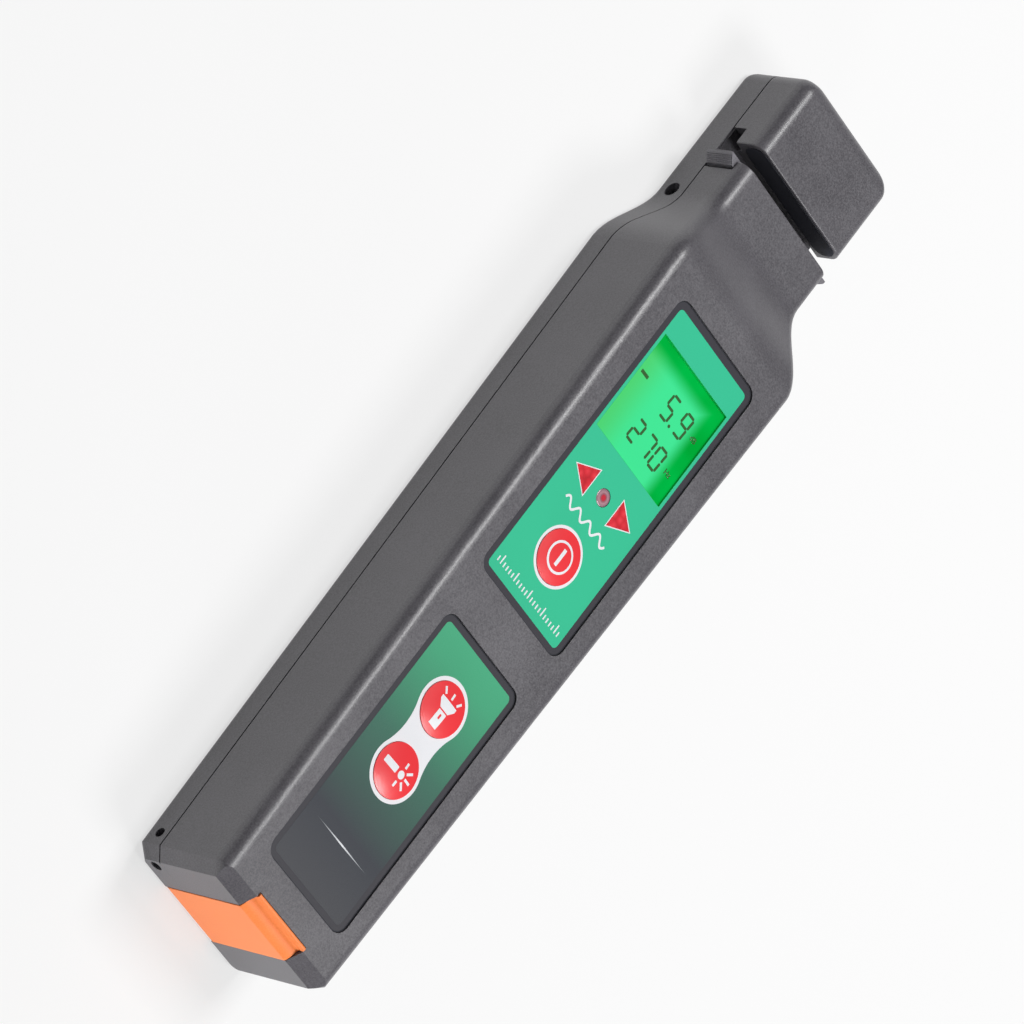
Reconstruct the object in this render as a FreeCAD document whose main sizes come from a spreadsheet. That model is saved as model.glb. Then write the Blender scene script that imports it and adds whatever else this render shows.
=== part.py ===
import FreeCAD, Part
import math
import os

import Sketcher

Vector = FreeCAD.Vector

# Driving dimensions in millimetres. Places along the case are measured from its lower end.
SIZES = {
    # Case along its length
    "lower_recess_start": 10.0,
    "lower_recess_length": 60.3,
    "recess_spacing": 10.3,
    "upper_recess_length": 69.5,
    "shoulder_margin": 5.1,
    "shoulder_length": 18.0,
    "neck_length": 9.3,
    "slot_gap": 4.55,
    "head_height": 19.7,
    # Case across its width and depth
    "end_width": 37.3,
    "shoulder_width": 44.6,
    "neck_width": 32.8,
    "neck_drop": 7.0,
    "edge_round": 3.0,
    "rear_edge_round": 1.5,
    "end_corner": 2.3,
    "head_corner": 3.6,
    "end_rear_slope": 1.0,
    "head_rear_round": 2.0,
    "head_front_round": 2.5,
    "end_chamfer": 2.75,
    "slot_edge_round": 0.35,
    # Walls and seam
    "wall": 2.0,
    "rear_wall": 2.0,
    "front_wall": 2.6,
    "end_wall": 4.6,
    "bulkhead": 1.8,
    "seam_height": 6.45,
    "neck_seam_height": 8.2,
    "seam_groove_width": 0.3,
    "seam_groove_depth": 0.4,
    "seat_clearance": 0.1,
    # Overlays
    "lower_recess_width": 26.0,
    "upper_recess_width": 28.5,
    "recess_corner": 2.8,
    "recess_depth": 0.9,
    "overlay_thickness": 0.5,
    # Keys and switches
    "laser_key_rise": 30.7,
    "key_spacing": 15.3,
    "power_key_rise": 14.2,
    "key_diameter": 11.0,
    "key_clearance": 0.2,
    "key_rise": 0.25,
    "key_crown": 0.45,
    "key_flange_margin": 0.8,
    "key_flange_thickness": 0.8,
    "key_stem_diameter": 4.0,
    "key_travel": 0.45,
    "switch_width": 6.0,
    "switch_height": 2.0,
    "plunger_diameter": 2.4,
    "plunger_rise": 0.75,
    # Signal lights and display
    "signal_rise": 15.3,
    "signal_diameter": 3.6,
    "arrow_tip": 9.9,
    "arrow_base": 4.4,
    "arrow_height": 6.2,
    "guide_bar_height": 8.0,
    "guide_bar_thickness": 1.3,
    "light_dome_share": 0.7,
    "light_chip_width": 2.0,
    "light_chip_height": 1.2,
    "display_rise": 20.15,
    "window_width": 23.8,
    "window_length": 23.7,
    "glass_margin": 1.2,
    "glass_thickness": 2.2,
    "backlight_thickness": 2.0,
    "holder_wall": 1.5,
    # Boards
    "board_width": 23.0,
    "board_start": 31.0,
    "board_end_margin": 2.5,
    "board_thickness": 1.6,
    "board_gap": 3.4,
    "board_to_front": 5.7,
    "board_boss_diameter": 5.0,
    "board_boss_inset": 2.5,
    "chip_width": 10.0,
    "chip_height": 0.9,
    # Screws
    "screw_diameter": 2.2,
    "screw_clearance": 0.05,
    "screw_head_diameter": 4.2,
    "screw_head_height": 1.5,
    "screw_head_recess": 0.8,
    "screw_boss_diameter": 6.0,
    "drive_length": 2.6,
    "drive_width": 0.7,
    "drive_depth_share": 0.5,
    "pilot_margin": 0.5,
    "case_screw_length": 12.0,
    "lower_screw_place": 22.0,
    "lower_screw_spread": 26.0,
    "upper_screw_place": 106.0,
    "upper_screw_spread": 29.2,
    "head_screw_spread": 21.0,
    "head_screw_margin": 4.4,
    "head_screw_length": 7.0,
    "board_screw_length": 5.0,
    "board_screw_head_height": 0.9,
    # Cells and their door
    "cell_diameter": 10.5,
    "cell_length": 43.7,
    "cell_nub_diameter": 3.8,
    "cell_nub_length": 0.8,
    "cell_spacing": 11.2,
    "bay_start": 28.0,
    "bay_wall": 1.2,
    "bay_margin": 0.4,
    "bay_height": 8.4,
    "contact_thickness": 0.5,
    "contact_spring_diameter": 5.0,
    "contact_spring_length": 3.2,
    "contact_wire": 0.5,
    "contact_spring_turns": 3,
    "door_thickness": 1.1,
    "door_ledge": 1.5,
    "door_clearance": 0.2,
    "door_inset": 0.05,
    "door_grip_width": 12.0,
    "door_grip_depth": 0.75,
    # Flap at the lower end
    "flap_width": 15.9,
    "flap_thickness": 1.5,
    "flap_proud": 0.1,
    "flap_clearance": 0.15,
    "flap_lip_rise": 0.4,
    "flap_lip_reach": 0.9,
    "flap_knuckle_radius": 1.9,
    "flap_pin_diameter": 1.2,
    "flap_pin_clearance": 0.05,
    "flap_pin_grip": 2.4,
    # Ports under the flap
    "port_spread": 8.4,
    "port_height": 15.5,
    "ferrule_bore": 2.51,
    "sleeve_diameter": 6.2,
    "sleeve_flange_diameter": 8.0,
    "sleeve_flange_thickness": 1.2,
    "sleeve_length": 9.4,
    "barrel_diameter": 8.4,
    "barrel_length": 14.0,
    "barrel_rib": 2.0,
    "torch_diameter": 5.0,
    "torch_flange_margin": 0.45,
    "torch_flange_thickness": 1.0,
    "torch_board_thickness": 1.6,
    # Lanyard hole
    "lanyard_hole_diameter": 2.1,
    "lanyard_end_diameter": 2.4,
    "lanyard_side_place": 4.9,
    "lanyard_side_height": 3.9,
    "lanyard_end_inset": 3.9,
    "lanyard_block": 9.0,
    # Slide, from the trigger on the back to the press block
    "slide_travel": 2.2,
    "well_start": 121.0,
    "well_length": 34.0,
    "well_width": 19.0,
    "well_depth": 2.2,
    "well_corner": 3.0,
    "well_floor": 2.0,
    "trigger_margin": 1.0,
    "trigger_length": 20.0,
    "trigger_inset": 0.25,
    "trigger_rib_height": 0.7,
    "trigger_rib_width": 1.2,
    "trigger_rib_pitch": 3.0,
    "stem_width": 5.6,
    "stem_length": 8.0,
    "running_gap": 0.2,
    "carriage_width": 12.0,
    "carriage_thickness": 2.4,
    "rail_width": 3.0,
    "retainer_thickness": 1.0,
    "retainer_length": 5.0,
    "retainer_gap": 1.0,
    "retainer_screw_diameter": 1.8,
    "trigger_screw_bite": 1.6,
    "spring_tab_height": 5.6,
    "spring_tab_thickness": 1.5,
    "spring_diameter": 4.0,
    "spring_wire": 0.5,
    "spring_length": 10.0,
    "spring_turns": 7,
    "guide_length": 9.5,
    "guide_height": 9.4,
    "side_screw_diameter": 2.2,
    "side_hole_diameter": 3.4,
    "side_screw_height": 4.35,
    "side_screw_length": 5.0,
    # Press block, anvil and detectors
    "bridge_thickness": 2.0,
    "block_rise": 2.0,
    "block_length": 3.6,
    "block_ledge": 2.1,
    "block_step_height": 4.7,
    "block_roof": 2.7,
    "lug_proud": 0.4,
    "lug_reach": 2.0,
    "lug_flat": 0.5,
    "block_gap": 0.3,
    "pad_width": 18.0,
    "pad_height": 2.5,
    "pad_rise": 0.7,
    "riser_width": 9.0,
    "riser_thickness": 1.3,
    "channel_height": 3.75,
    "channel_depth": 3.6,
    "anvil_drop": 2.6,
    "anvil_width": 25.0,
    "anvil_length": 8.0,
    "anvil_height": 5.4,
    "detector_diameter": 2.4,
    "detector_length": 3.6,
    "detector_spread": 9.0,
    "detector_wall": 1.0,
    "detector_board_thickness": 1.6,
    "detector_board_gap": 0.5,
}

doc = FreeCAD.newDocument("fibre_identifier")
sheet = doc.addObject("Spreadsheet::Sheet", "sz")
for row, (alias, size) in enumerate(SIZES.items(), start=1):
    sheet.set(f"A{row}", alias)
    sheet.set(f"B{row}", str(size))
    sheet.setAlias(f"B{row}", alias)
doc.recompute()

nodes = []


def value(expression):
    """Number that an expression of the sheet's cells stands for."""
    return float(sheet.evalExpression(expression))


def half(expression):
    return f"(({expression}) / 2)"


def minus(expression):
    return f"(-({expression}))"


def both_sides(width):
    """Span of the given width about the middle plane."""
    return (minus(half(width)), half(width))


# Places along the case, from its lower end
LOWER_RECESS_END = "(sz.lower_recess_start + sz.lower_recess_length)"
UPPER_RECESS_START = f"({LOWER_RECESS_END} + sz.recess_spacing)"
UPPER_RECESS_END = f"({UPPER_RECESS_START} + sz.upper_recess_length)"
SHOULDER_START = f"({UPPER_RECESS_END} + sz.shoulder_margin)"
SHOULDER_END = f"({SHOULDER_START} + sz.shoulder_length)"
SLOT_START = f"({SHOULDER_END} + sz.neck_length)"
SLOT_END = f"({SLOT_START} + sz.slot_gap)"
CASE_LENGTH = f"({SLOT_END} + sz.head_height)"
LASER_KEY = "(sz.lower_recess_start + sz.laser_key_rise)"
TORCH_KEY = f"({LASER_KEY} + sz.key_spacing)"
POWER_KEY = f"({UPPER_RECESS_START} + sz.power_key_rise)"
SIGNAL = f"({POWER_KEY} + sz.signal_rise)"
DISPLAY = f"({SIGNAL} + sz.display_rise)"

# Heights above the rear face
BOARD_LOW = "(sz.rear_wall + sz.cell_diameter + sz.board_gap)"
BOARD_TOP = f"({BOARD_LOW} + sz.board_thickness)"
FRONT_INSIDE = f"({BOARD_TOP} + sz.board_to_front)"
FRONT = f"({FRONT_INSIDE} + sz.front_wall)"
NECK_FRONT = f"({FRONT} - sz.neck_drop)"
OVERLAY_SEAT = f"({FRONT} - sz.recess_depth)"
OVERLAY_TOP = f"({OVERLAY_SEAT} + sz.overlay_thickness)"
PLUNGER_TOP = f"({BOARD_TOP} + sz.switch_height + sz.plunger_rise)"

# Openings in the front wall and the glass behind it
KEY_HOLE = "(sz.key_diameter + 2 * sz.key_clearance)"
SIGNAL_HOLE = "(sz.signal_diameter + 2 * sz.seat_clearance)"
GLASS_WIDTH = "(sz.window_width + 2 * sz.glass_margin)"
GLASS_LENGTH = "(sz.window_length + 2 * sz.glass_margin)"
PLUNGER_LOW = f"({BOARD_TOP} + sz.key_travel + sz.running_gap)"

# Reach of cutting tools past the faces that they open
PAST = "5"
# Depth by which a boss or a rib is let into the wall that carries it
ROOT = "(sz.wall / 4)"


def along(place):
    """Y of a place along the case; the middle of the whole length is at zero."""
    return f"({place} - ({CASE_LENGTH} - sz.flap_proud) / 2)"


def stretch(low, high):
    return (along(low), along(high))


def block(name, x, y, z):
    """Box between two limits on each axis."""
    solid = doc.addObject("Part::Box", name)
    for size, axis, (low, high) in (("Length", "x", x), ("Width", "y", y), ("Height", "z", z)):
        solid.setExpression(size, f"({high}) - ({low})")
        solid.setExpression(f"Placement.Base.{axis}", low)
    return solid


TURN = {
    "x": FreeCAD.Rotation(Vector(0, 1, 0), 90),
    "y": FreeCAD.Rotation(Vector(1, 0, 0), -90),
    "-y": FreeCAD.Rotation(Vector(1, 0, 0), 90),
    "-x": FreeCAD.Rotation(Vector(0, 1, 0), -90),
    "z": FreeCAD.Rotation(),
    "-z": FreeCAD.Rotation(Vector(1, 0, 0), 180),
}


def place(solid, x, y, z, axis="z"):
    """Puts a solid drawn along Z at a point, turned to lie along an axis."""
    solid.Placement = FreeCAD.Placement(Vector(), TURN[axis])
    for letter, expression in (("x", x), ("y", y), ("z", z)):
        solid.setExpression(f"Placement.Base.{letter}", expression)
    return solid


def rod(name, diameter, axis, x, y, z, length):
    """Cylinder that starts at a point and runs along an axis."""
    solid = doc.addObject("Part::Cylinder", name)
    solid.setExpression("Radius", half(diameter))
    solid.setExpression("Height", length)
    return place(solid, x, y, z, axis)


def joined(name, *pieces):
    solid = doc.addObject("Part::MultiFuse", name)
    solid.Shapes = list(pieces)
    return solid


def cut(name, base, *tools):
    solid = doc.addObject("Part::Cut", name)
    solid.Base = base
    solid.Tool = tools[0] if len(tools) == 1 else joined(f"{name}_tools", *tools)
    return solid


def common(name, base, tool):
    solid = doc.addObject("Part::Common", name)
    solid.Base = base
    solid.Tool = tool
    return solid


def group(name, pieces):
    """Like pieces in one node, each a solid of its own."""
    solid = doc.addObject("Part::Compound", name)
    solid.Links = list(pieces)
    return solid


def node(solid, name):
    """Marks a solid as a sub-part under its own name."""
    solid.Label = name
    nodes.append(solid)
    return solid


DOME_STEPS = 5
COIL_STATIONS = 16
COIL_CORNERS = 8


def body_sketch(body, name, role):
    sketch = body.newObject("Sketcher::SketchObject", name)
    plane = next(feature for feature in body.Origin.OriginFeatures if feature.Role == role)
    sketch.AttachmentSupport = (plane, [""])
    sketch.MapMode = "FlatFace"
    return sketch


def bound(sketch, kind, first, second, expression):
    """Distance of a point from the sketch's origin, tied to the sheet."""
    index = sketch.addConstraint(Sketcher.Constraint(kind, -1, 1, first, second, value(expression)))
    sketch.setExpression(f"Constraints[{index}]", expression)


def draw_polygon(sketch, points):
    """Closed outline through points whose coordinates are tied to the sheet."""
    corners = [Vector(value(across), value(up), 0) for across, up in points]
    first = sketch.GeometryCount
    count = len(corners)
    for index, corner in enumerate(corners):
        sketch.addGeometry(Part.LineSegment(corner, corners[(index + 1) % count]))
    for index in range(count):
        following = first + (index + 1) % count
        sketch.addConstraint(Sketcher.Constraint("Coincident", first + index, 2, following, 1))
    for index, (across, up) in enumerate(points):
        bound(sketch, "DistanceX", first + index, 1, across)
        bound(sketch, "DistanceY", first + index, 1, up)


def draw_circle(sketch, across, up, diameter):
    centre = Vector(value(across), value(up), 0)
    index = sketch.addGeometry(Part.Circle(centre, Vector(0, 0, 1), value(half(diameter))))
    radius = sketch.addConstraint(Sketcher.Constraint("Radius", index, value(half(diameter))))
    sketch.setExpression(f"Constraints[{radius}]", half(diameter))
    bound(sketch, "DistanceX", index, 3, across)
    bound(sketch, "DistanceY", index, 3, up)


def rectangle(x, y):
    return [(x[0], y[0]), (x[1], y[0]), (x[1], y[1]), (x[0], y[1])]


def prism(name, role, points, span):
    """Outline on a plane, padded over a span: the XY plane along Z, the YZ plane along X."""
    body = doc.addObject("PartDesign::Body", name)
    sketch = body_sketch(body, f"{name}_outline", role)
    draw_polygon(sketch, points)
    pad = body.newObject("PartDesign::Pad", f"{name}_pad")
    pad.Profile = sketch
    pad.setExpression("Length", f"({span[1]}) - ({span[0]})")
    axis = {"XY_Plane": "z", "YZ_Plane": "x"}[role]
    body.setExpression(f"Placement.Base.{axis}", span[0])
    return body


def upright(edge):
    first, last = edge.Vertexes[0].Point, edge.Vertexes[-1].Point
    return math.hypot(first.x - last.x, first.y - last.y) < Part.Precision.confusion()


def round_corners(body, radius):
    """Rounds the edges of a padded plate that stand upright."""
    doc.recompute()
    base = body.Tip
    fillet = body.newObject("PartDesign::Fillet", f"{body.Name}_corners")
    edges = [f"Edge{index}" for index, edge in enumerate(base.Shape.Edges, start=1) if upright(edge)]
    fillet.Base = (base, edges)
    fillet.setExpression("Radius", radius)
    return body


def plate(name, x, y, z, corner):
    """Flat plate with rounded corners."""
    return round_corners(prism(name, "XY_Plane", rectangle(x, y), z), corner)


def open_plate(body, name, polygons=(), circles=()):
    """Openings right through a plate."""
    before = body.Shape.Volume if body.Shape.isValid() else 0
    sketch = body_sketch(body, f"{body.Name}_{name}", "XY_Plane")
    for points in polygons:
        draw_polygon(sketch, points)
    for circle in circles:
        draw_circle(sketch, *circle)
    pocket = body.newObject("PartDesign::Pocket", f"{body.Name}_{name}_cut")
    pocket.Profile = sketch
    pocket.Type = "ThroughAll"
    pocket.Reversed = True
    doc.recompute()
    if before and body.Shape.Volume >= before:
        raise RuntimeError(f"{body.Name}: {name} cut nothing")
    return body


def turned(name, profile, x, y, z, axis="z"):
    """Piece turned about its own axis from a profile of (radius, height) points."""
    body = doc.addObject("PartDesign::Body", name)
    sketch = body_sketch(body, f"{name}_profile", "XZ_Plane")
    draw_polygon(sketch, profile)
    turn = body.newObject("PartDesign::Revolution", f"{name}_turn")
    turn.Profile = sketch
    turn.ReferenceAxis = (sketch, ["V_Axis"])
    turn.Angle = 360
    return place(body, x, y, z, axis)


def cross(length, width):
    """Outline of a plus sign about the origin."""
    far, near = half(length), half(width)
    outline = []
    for x, y in ((far, near), (near, near), (near, far)):
        outline.append((x, y))
    for x, y in ((near, far), (near, near), (far, near)):
        outline.append((minus(x), y))
    return outline + [(minus(x), minus(y)) for x, y in outline]


def screw(name, diameter, length, x, y, z, axis, head_height="sz.screw_head_height"):
    """Pan-head screw with its head's seat at the point and its shank along the axis."""
    shank = half(diameter)
    head = half("sz.screw_head_diameter")
    top = minus(head_height)
    profile = [("0", top), (head, top), (head, "0"), (shank, "0"), (shank, length), ("0", length)]
    body = turned(name, profile, x, y, z, axis)
    doc.recompute()
    before = body.Shape.Volume
    sketch = body_sketch(body, f"{name}_drive", "XY_Plane")
    sketch.setExpression("AttachmentOffset.Base.z", top)
    draw_polygon(sketch, cross("sz.drive_length", "sz.drive_width"))
    pocket = body.newObject("PartDesign::Pocket", f"{name}_drive_cut")
    pocket.Profile = sketch
    pocket.setExpression("Length", f"({head_height} * sz.drive_depth_share)")
    pocket.Reversed = True
    doc.recompute()
    if body.Shape.Volume >= before:
        raise RuntimeError(f"{name}: the drive cut nothing")
    return body


def domed(radius, base, tip):
    """Points of a rounded end, from its rim at the base to its tip."""
    points = []
    for step in range(DOME_STEPS):
        angle = 90 * step / DOME_STEPS
        points.append((f"({radius} * cos({angle}))", f"({base} + ({tip} - {base}) * sin({angle}))"))
    return [*points, ("0", tip)]


def wire_section(out, along, centre, wire_radius):
    """Closed many-cornered section of a wire that runs along a direction at a point."""
    up = out.cross(along)
    points = []
    for corner in range(COIL_CORNERS):
        turn = 2 * math.pi * corner / COIL_CORNERS
        points.append(centre + out * (wire_radius * math.cos(turn)) + up * (wire_radius * math.sin(turn)))
    return Part.makePolygon(points + points[:1])


def coil(name, diameter, wire, length, turns, x, y, z, axis):
    """Coil spring of a given overall length, its wire lofted through sections along a helix."""
    radius = value(f"({diameter} - {wire}) / 2")
    wire_radius = value(half(wire))
    steps = round(COIL_STATIONS * value(turns))
    rise = (value(length) - 2 * wire_radius) / steps
    sections = []
    for step in range(steps + 1):
        angle = 2 * math.pi * step / COIL_STATIONS
        out = Vector(math.cos(angle), math.sin(angle), 0)
        arc = 2 * math.pi * radius / COIL_STATIONS
        along = Vector(-arc * math.sin(angle), arc * math.cos(angle), rise).normalize()
        centre = out * radius + Vector(0, 0, wire_radius + rise * step)
        sections.append(wire_section(out, along, centre, wire_radius))
    solid = doc.addObject("Part::Feature", name)
    solid.Shape = Part.makeLoft(sections, True, True)
    return place(solid, x, y, z, axis)


# Outer form of the case
def ease(share):
    return share * share * (3 - 2 * share)


def ring(y, half_width, low, high, low_radius, high_radius):
    """Rounded rectangle across the case."""

    def corner(side, level, radius, inward):
        """Arc from the upright side to the level face."""
        bend = radius * (1 - math.sqrt(0.5))
        edge = side * half_width
        return [
            Vector(edge, y, level + inward * radius),
            Vector(edge - side * bend, y, level + inward * bend),
            Vector(edge - side * radius, y, level),
        ]

    corners = [
        corner(1, low, low_radius, 1)[::-1],
        corner(1, high, high_radius, -1),
        corner(-1, high, high_radius, -1)[::-1],
        corner(-1, low, low_radius, 1),
    ]
    edges = []
    for index, points in enumerate(corners):
        edges.append(Part.makeLine(corners[index - 1][2], points[0]))
        edges.append(Part.Arc(*points).toShape())
    return Part.Wire(edges)


CAP_STATIONS = 9
SHOULDER_STATIONS = 9


def case_form(name, side, front, rear, rounded_ends=True):
    """Outer form of the whole case, drawn in by a wall at its sides, front and rear."""
    end_half = value(half("sz.end_width"))
    shoulder_half = value(half("sz.shoulder_width"))
    neck_half = value(half("sz.neck_width"))
    depth = value(FRONT)
    neck_depth = value(NECK_FRONT)
    start, finish = value(SHOULDER_START), value(SHOULDER_END)
    length = value(CASE_LENGTH)
    end_corner, head_corner = value("sz.end_corner"), value("sz.head_corner")
    origin = value(along("0"))
    inset_side, inset_front, inset_rear = value(side), value(front), value(rear)

    def drawn(radius):
        return max(radius - inset_side, radius / 4)

    rear_radius, front_radius = drawn(value("sz.rear_edge_round")), drawn(value("sz.edge_round"))

    def body_half(distance):
        return end_half + (shoulder_half - end_half) * distance / start

    def station(distance, half_width, low, high):
        return ring(
            origin + distance,
            half_width - inset_side,
            low + inset_rear,
            high - inset_front,
            rear_radius,
            front_radius,
        )

    quarter = [index * math.pi / 2 / (CAP_STATIONS - 1) for index in range(CAP_STATIONS)]
    lower_cap = [
        station(0, body_half(0) - end_corner, value("sz.end_rear_slope"), depth),
        station(end_corner, body_half(end_corner), 0, depth),
    ]
    shoulder = []
    for index in range(SHOULDER_STATIONS):
        share = index / (SHOULDER_STATIONS - 1)
        half_width = shoulder_half + (neck_half - shoulder_half) * ease(share)
        high = depth + (neck_depth - depth) * ease(share)
        shoulder.append(station(start + (finish - start) * share, half_width, 0, high))
    head_cap = []
    for angle in reversed(quarter):
        distance = head_corner * (1 - math.cos(angle))
        drawn_in = head_corner * (1 - math.sin(angle))
        low = value("sz.head_rear_round") * (1 - math.sin(angle))
        high = neck_depth - value("sz.head_front_round") * (1 - math.sin(angle))
        head_cap.append(station(length - distance, neck_half - drawn_in, low, high))

    stretches = [
        Part.makeLoft([lower_cap[-1], shoulder[0]], True, True),
        Part.makeLoft(shoulder, True, False),
        Part.makeLoft([shoulder[-1], head_cap[0]], True, True),
    ]
    if rounded_ends:
        stretches += [Part.makeLoft(lower_cap, True, True), Part.makeLoft(head_cap, True, False)]
    else:
        head_end = station(length, neck_half, 0, neck_depth)
        stretches.append(Part.makeLoft([head_cap[0], head_end], True, True))
    solid = doc.addObject("Part::Feature", name)
    solid.Shape = stretches[0].multiFuse(stretches[1:])
    return solid


def slot_rim(edge, y):
    """Whether an edge lies in the plane across the case at y, on its outside."""
    return all(abs(vertex.Y - y) < Part.Precision.confusion() for vertex in edge.Vertexes)


def ease_rim(name, base, y):
    """Rounds the rim where the slot opens through the outer form, clear of the seam."""
    doc.recompute()
    radius = value("sz.slot_edge_round")
    seam = value("sz.neck_seam_height")
    picked = []
    for index, edge in enumerate(base.Shape.Edges, start=1):
        above_seam = edge.BoundBox.ZMax > seam + Part.Precision.confusion()
        if slot_rim(edge, y) and above_seam:
            picked.append((index, radius, radius))
    fillet = doc.addObject("Part::Fillet", name)
    fillet.Base = base
    fillet.Edges = picked
    return fillet


WIDE = both_sides("(2 * sz.shoulder_width)")
HIGH = (minus(PAST), f"({FRONT} + {PAST})")
PAST_END = minus(PAST)
PAST_HEAD = f"({CASE_LENGTH} + {PAST})"

outer_form = case_form("outer_form", "0", "0", "0")
inner_form = case_form("inner_form", "sz.wall", "sz.front_wall", "sz.rear_wall", rounded_ends=False)
GROOVE = "sz.seam_groove_depth"
groove_form = case_form("groove_form", GROOVE, GROOVE, GROOVE)

chamfer_wedge = prism(
    "chamfer_wedge",
    "YZ_Plane",
    [
        (along(PAST_END), f"({FRONT} - sz.end_chamfer - {PAST})"),
        (along(f"(sz.end_chamfer + {PAST})"), f"({FRONT} + {PAST})"),
        (along(PAST_END), f"({FRONT} + {PAST})"),
    ],
    WIDE,
)
case_blank = cut("case_blank", outer_form, chamfer_wedge)

# The seam runs at one height along the body and steps up to another on the neck
SEAM_STEP_START = f"({SHOULDER_START} + sz.shoulder_length / 3)"
SEAM_STEP_END = f"({SHOULDER_END} - sz.shoulder_length / 4)"


def under_seam(name, drop):
    """Everything behind the seam, or behind a line that runs below it by a drop."""
    return prism(
        name,
        "YZ_Plane",
        [
            (along(PAST_END), minus(PAST)),
            (along(PAST_HEAD), minus(PAST)),
            (along(PAST_HEAD), f"(sz.neck_seam_height - {drop})"),
            (along(SEAM_STEP_END), f"(sz.neck_seam_height - {drop})"),
            (along(SEAM_STEP_START), f"(sz.seam_height - {drop})"),
            (along(PAST_END), f"(sz.seam_height - {drop})"),
        ],
        WIDE,
    )


rear_zone = under_seam("rear_zone", "0")
below_groove = under_seam("below_groove", "sz.seam_groove_width")
seam_groove = cut("seam_groove", cut("seam_band", rear_zone, below_groove), groove_form)

# Screws through the rear shell into the front shell and the head cover
CASE_SCREWS = {
    "lower_left": (minus(half("sz.lower_screw_spread")), "sz.lower_screw_place"),
    "lower_right": (half("sz.lower_screw_spread"), "sz.lower_screw_place"),
    "upper_left": (minus(half("sz.upper_screw_spread")), "sz.upper_screw_place"),
    "upper_right": (half("sz.upper_screw_spread"), "sz.upper_screw_place"),
}
HEAD_SCREW_PLACE = f"({CASE_LENGTH} - sz.head_screw_margin)"
HEAD_SCREWS = {
    "left": (minus(half("sz.head_screw_spread")), HEAD_SCREW_PLACE),
    "right": (half("sz.head_screw_spread"), HEAD_SCREW_PLACE),
}
RETAINER_HOLE = "(sz.retainer_screw_diameter + 2 * sz.screw_clearance)"
SCREW_SEAT = "(sz.screw_head_recess + sz.screw_head_height)"
SCREW_HOLE = "(sz.screw_diameter + 2 * sz.screw_clearance)"
HEAD_HOLE = "(sz.screw_head_diameter + 4 * sz.screw_clearance)"
BOARD_SCREW_X = f"({half('sz.board_width')} - sz.board_boss_inset)"
BOARD_END = f"({SHOULDER_START} - sz.board_end_margin)"
BOARD_SCREW_ENDS = ("(sz.board_start + sz.board_boss_inset)", f"({BOARD_END} - sz.board_boss_inset)")
BOARD_SCREWS = {
    f"{'left' if side == minus(BOARD_SCREW_X) else 'right'}_{index}": (side, end)
    for index, end in enumerate(BOARD_SCREW_ENDS)
    for side in (minus(BOARD_SCREW_X), BOARD_SCREW_X)
}

# Flap at the lower end, as seen from the side
KNUCKLE_Y = along("(sz.flap_knuckle_radius - sz.flap_proud)")
KNUCKLE_Z = "(sz.flap_knuckle_radius + sz.seat_clearance)"
FLAP_INNER = "(sz.flap_thickness - sz.flap_proud)"
LIP_END = "(sz.end_chamfer + sz.flap_lip_reach)"
DIAGONAL = "sqrt(2)"


def chamfer_height(distance, sunk):
    """Height at a distance from the lower end of a plane sunk below the end chamfer."""
    return f"({FRONT} + {distance} - sz.end_chamfer - {DIAGONAL} * ({sunk}))"


def flap_profile():
    outer = minus("sz.flap_proud")
    lip_top = f"({FRONT} + sz.flap_lip_rise)"
    lip_start = f"(sz.end_chamfer + sz.flap_lip_rise - {DIAGONAL} * sz.flap_proud)"
    return [
        (along(outer), KNUCKLE_Z),
        (along(outer), chamfer_height(outer, outer)),
        (along(lip_start), lip_top),
        (along(LIP_END), lip_top),
        (along(LIP_END), chamfer_height(LIP_END, FLAP_INNER)),
        (along(FLAP_INNER), chamfer_height(FLAP_INNER, FLAP_INNER)),
        (along(FLAP_INNER), KNUCKLE_Z),
    ]


def flap_recess():
    """Space in the shells for the flap and its knuckle."""
    sunk = f"({FLAP_INNER} + sz.flap_clearance)"
    reach = f"({LIP_END} + sz.flap_clearance)"
    width = both_sides("(sz.flap_width + 2 * sz.flap_clearance)")
    leaf = prism(
        "flap_recess_leaf",
        "YZ_Plane",
        [
            (along(PAST_END), minus(PAST)),
            (along(sunk), minus(PAST)),
            (along(sunk), chamfer_height(sunk, sunk)),
            (along(reach), chamfer_height(reach, sunk)),
            (along(reach), f"({FRONT} + {PAST})"),
            (along(PAST_END), f"({FRONT} + {PAST})"),
        ],
        width,
    )
    round_end = rod(
        "flap_recess_round",
        "(2 * (sz.flap_knuckle_radius + sz.flap_clearance))",
        "x",
        width[0],
        KNUCKLE_Y,
        KNUCKLE_Z,
        f"(({width[1]}) - ({width[0]}))",
    )
    return joined("flap_recess", leaf, round_end)


flap_space = flap_recess()
PIN_HALF = f"({half('sz.flap_width')} + sz.flap_clearance + sz.flap_pin_grip)"
pin_hole = rod(
    "pin_hole",
    "sz.flap_pin_diameter",
    "x",
    minus(PIN_HALF),
    KNUCKLE_Y,
    KNUCKLE_Z,
    f"(2 * {PIN_HALF})",
)

# Ports in the end wall under the flap
LASER_X = minus(half("sz.port_spread"))
TORCH_X = half("sz.port_spread")
PORT_MOUTH = f"({FLAP_INNER} + 2 * sz.flap_clearance)"
SLEEVE_END = f"({PORT_MOUTH} + sz.sleeve_length)"
BARREL_END = f"({SLEEVE_END} + sz.barrel_length)"
TORCH_HOLE = "(sz.torch_diameter + 2 * sz.seat_clearance)"

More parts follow.
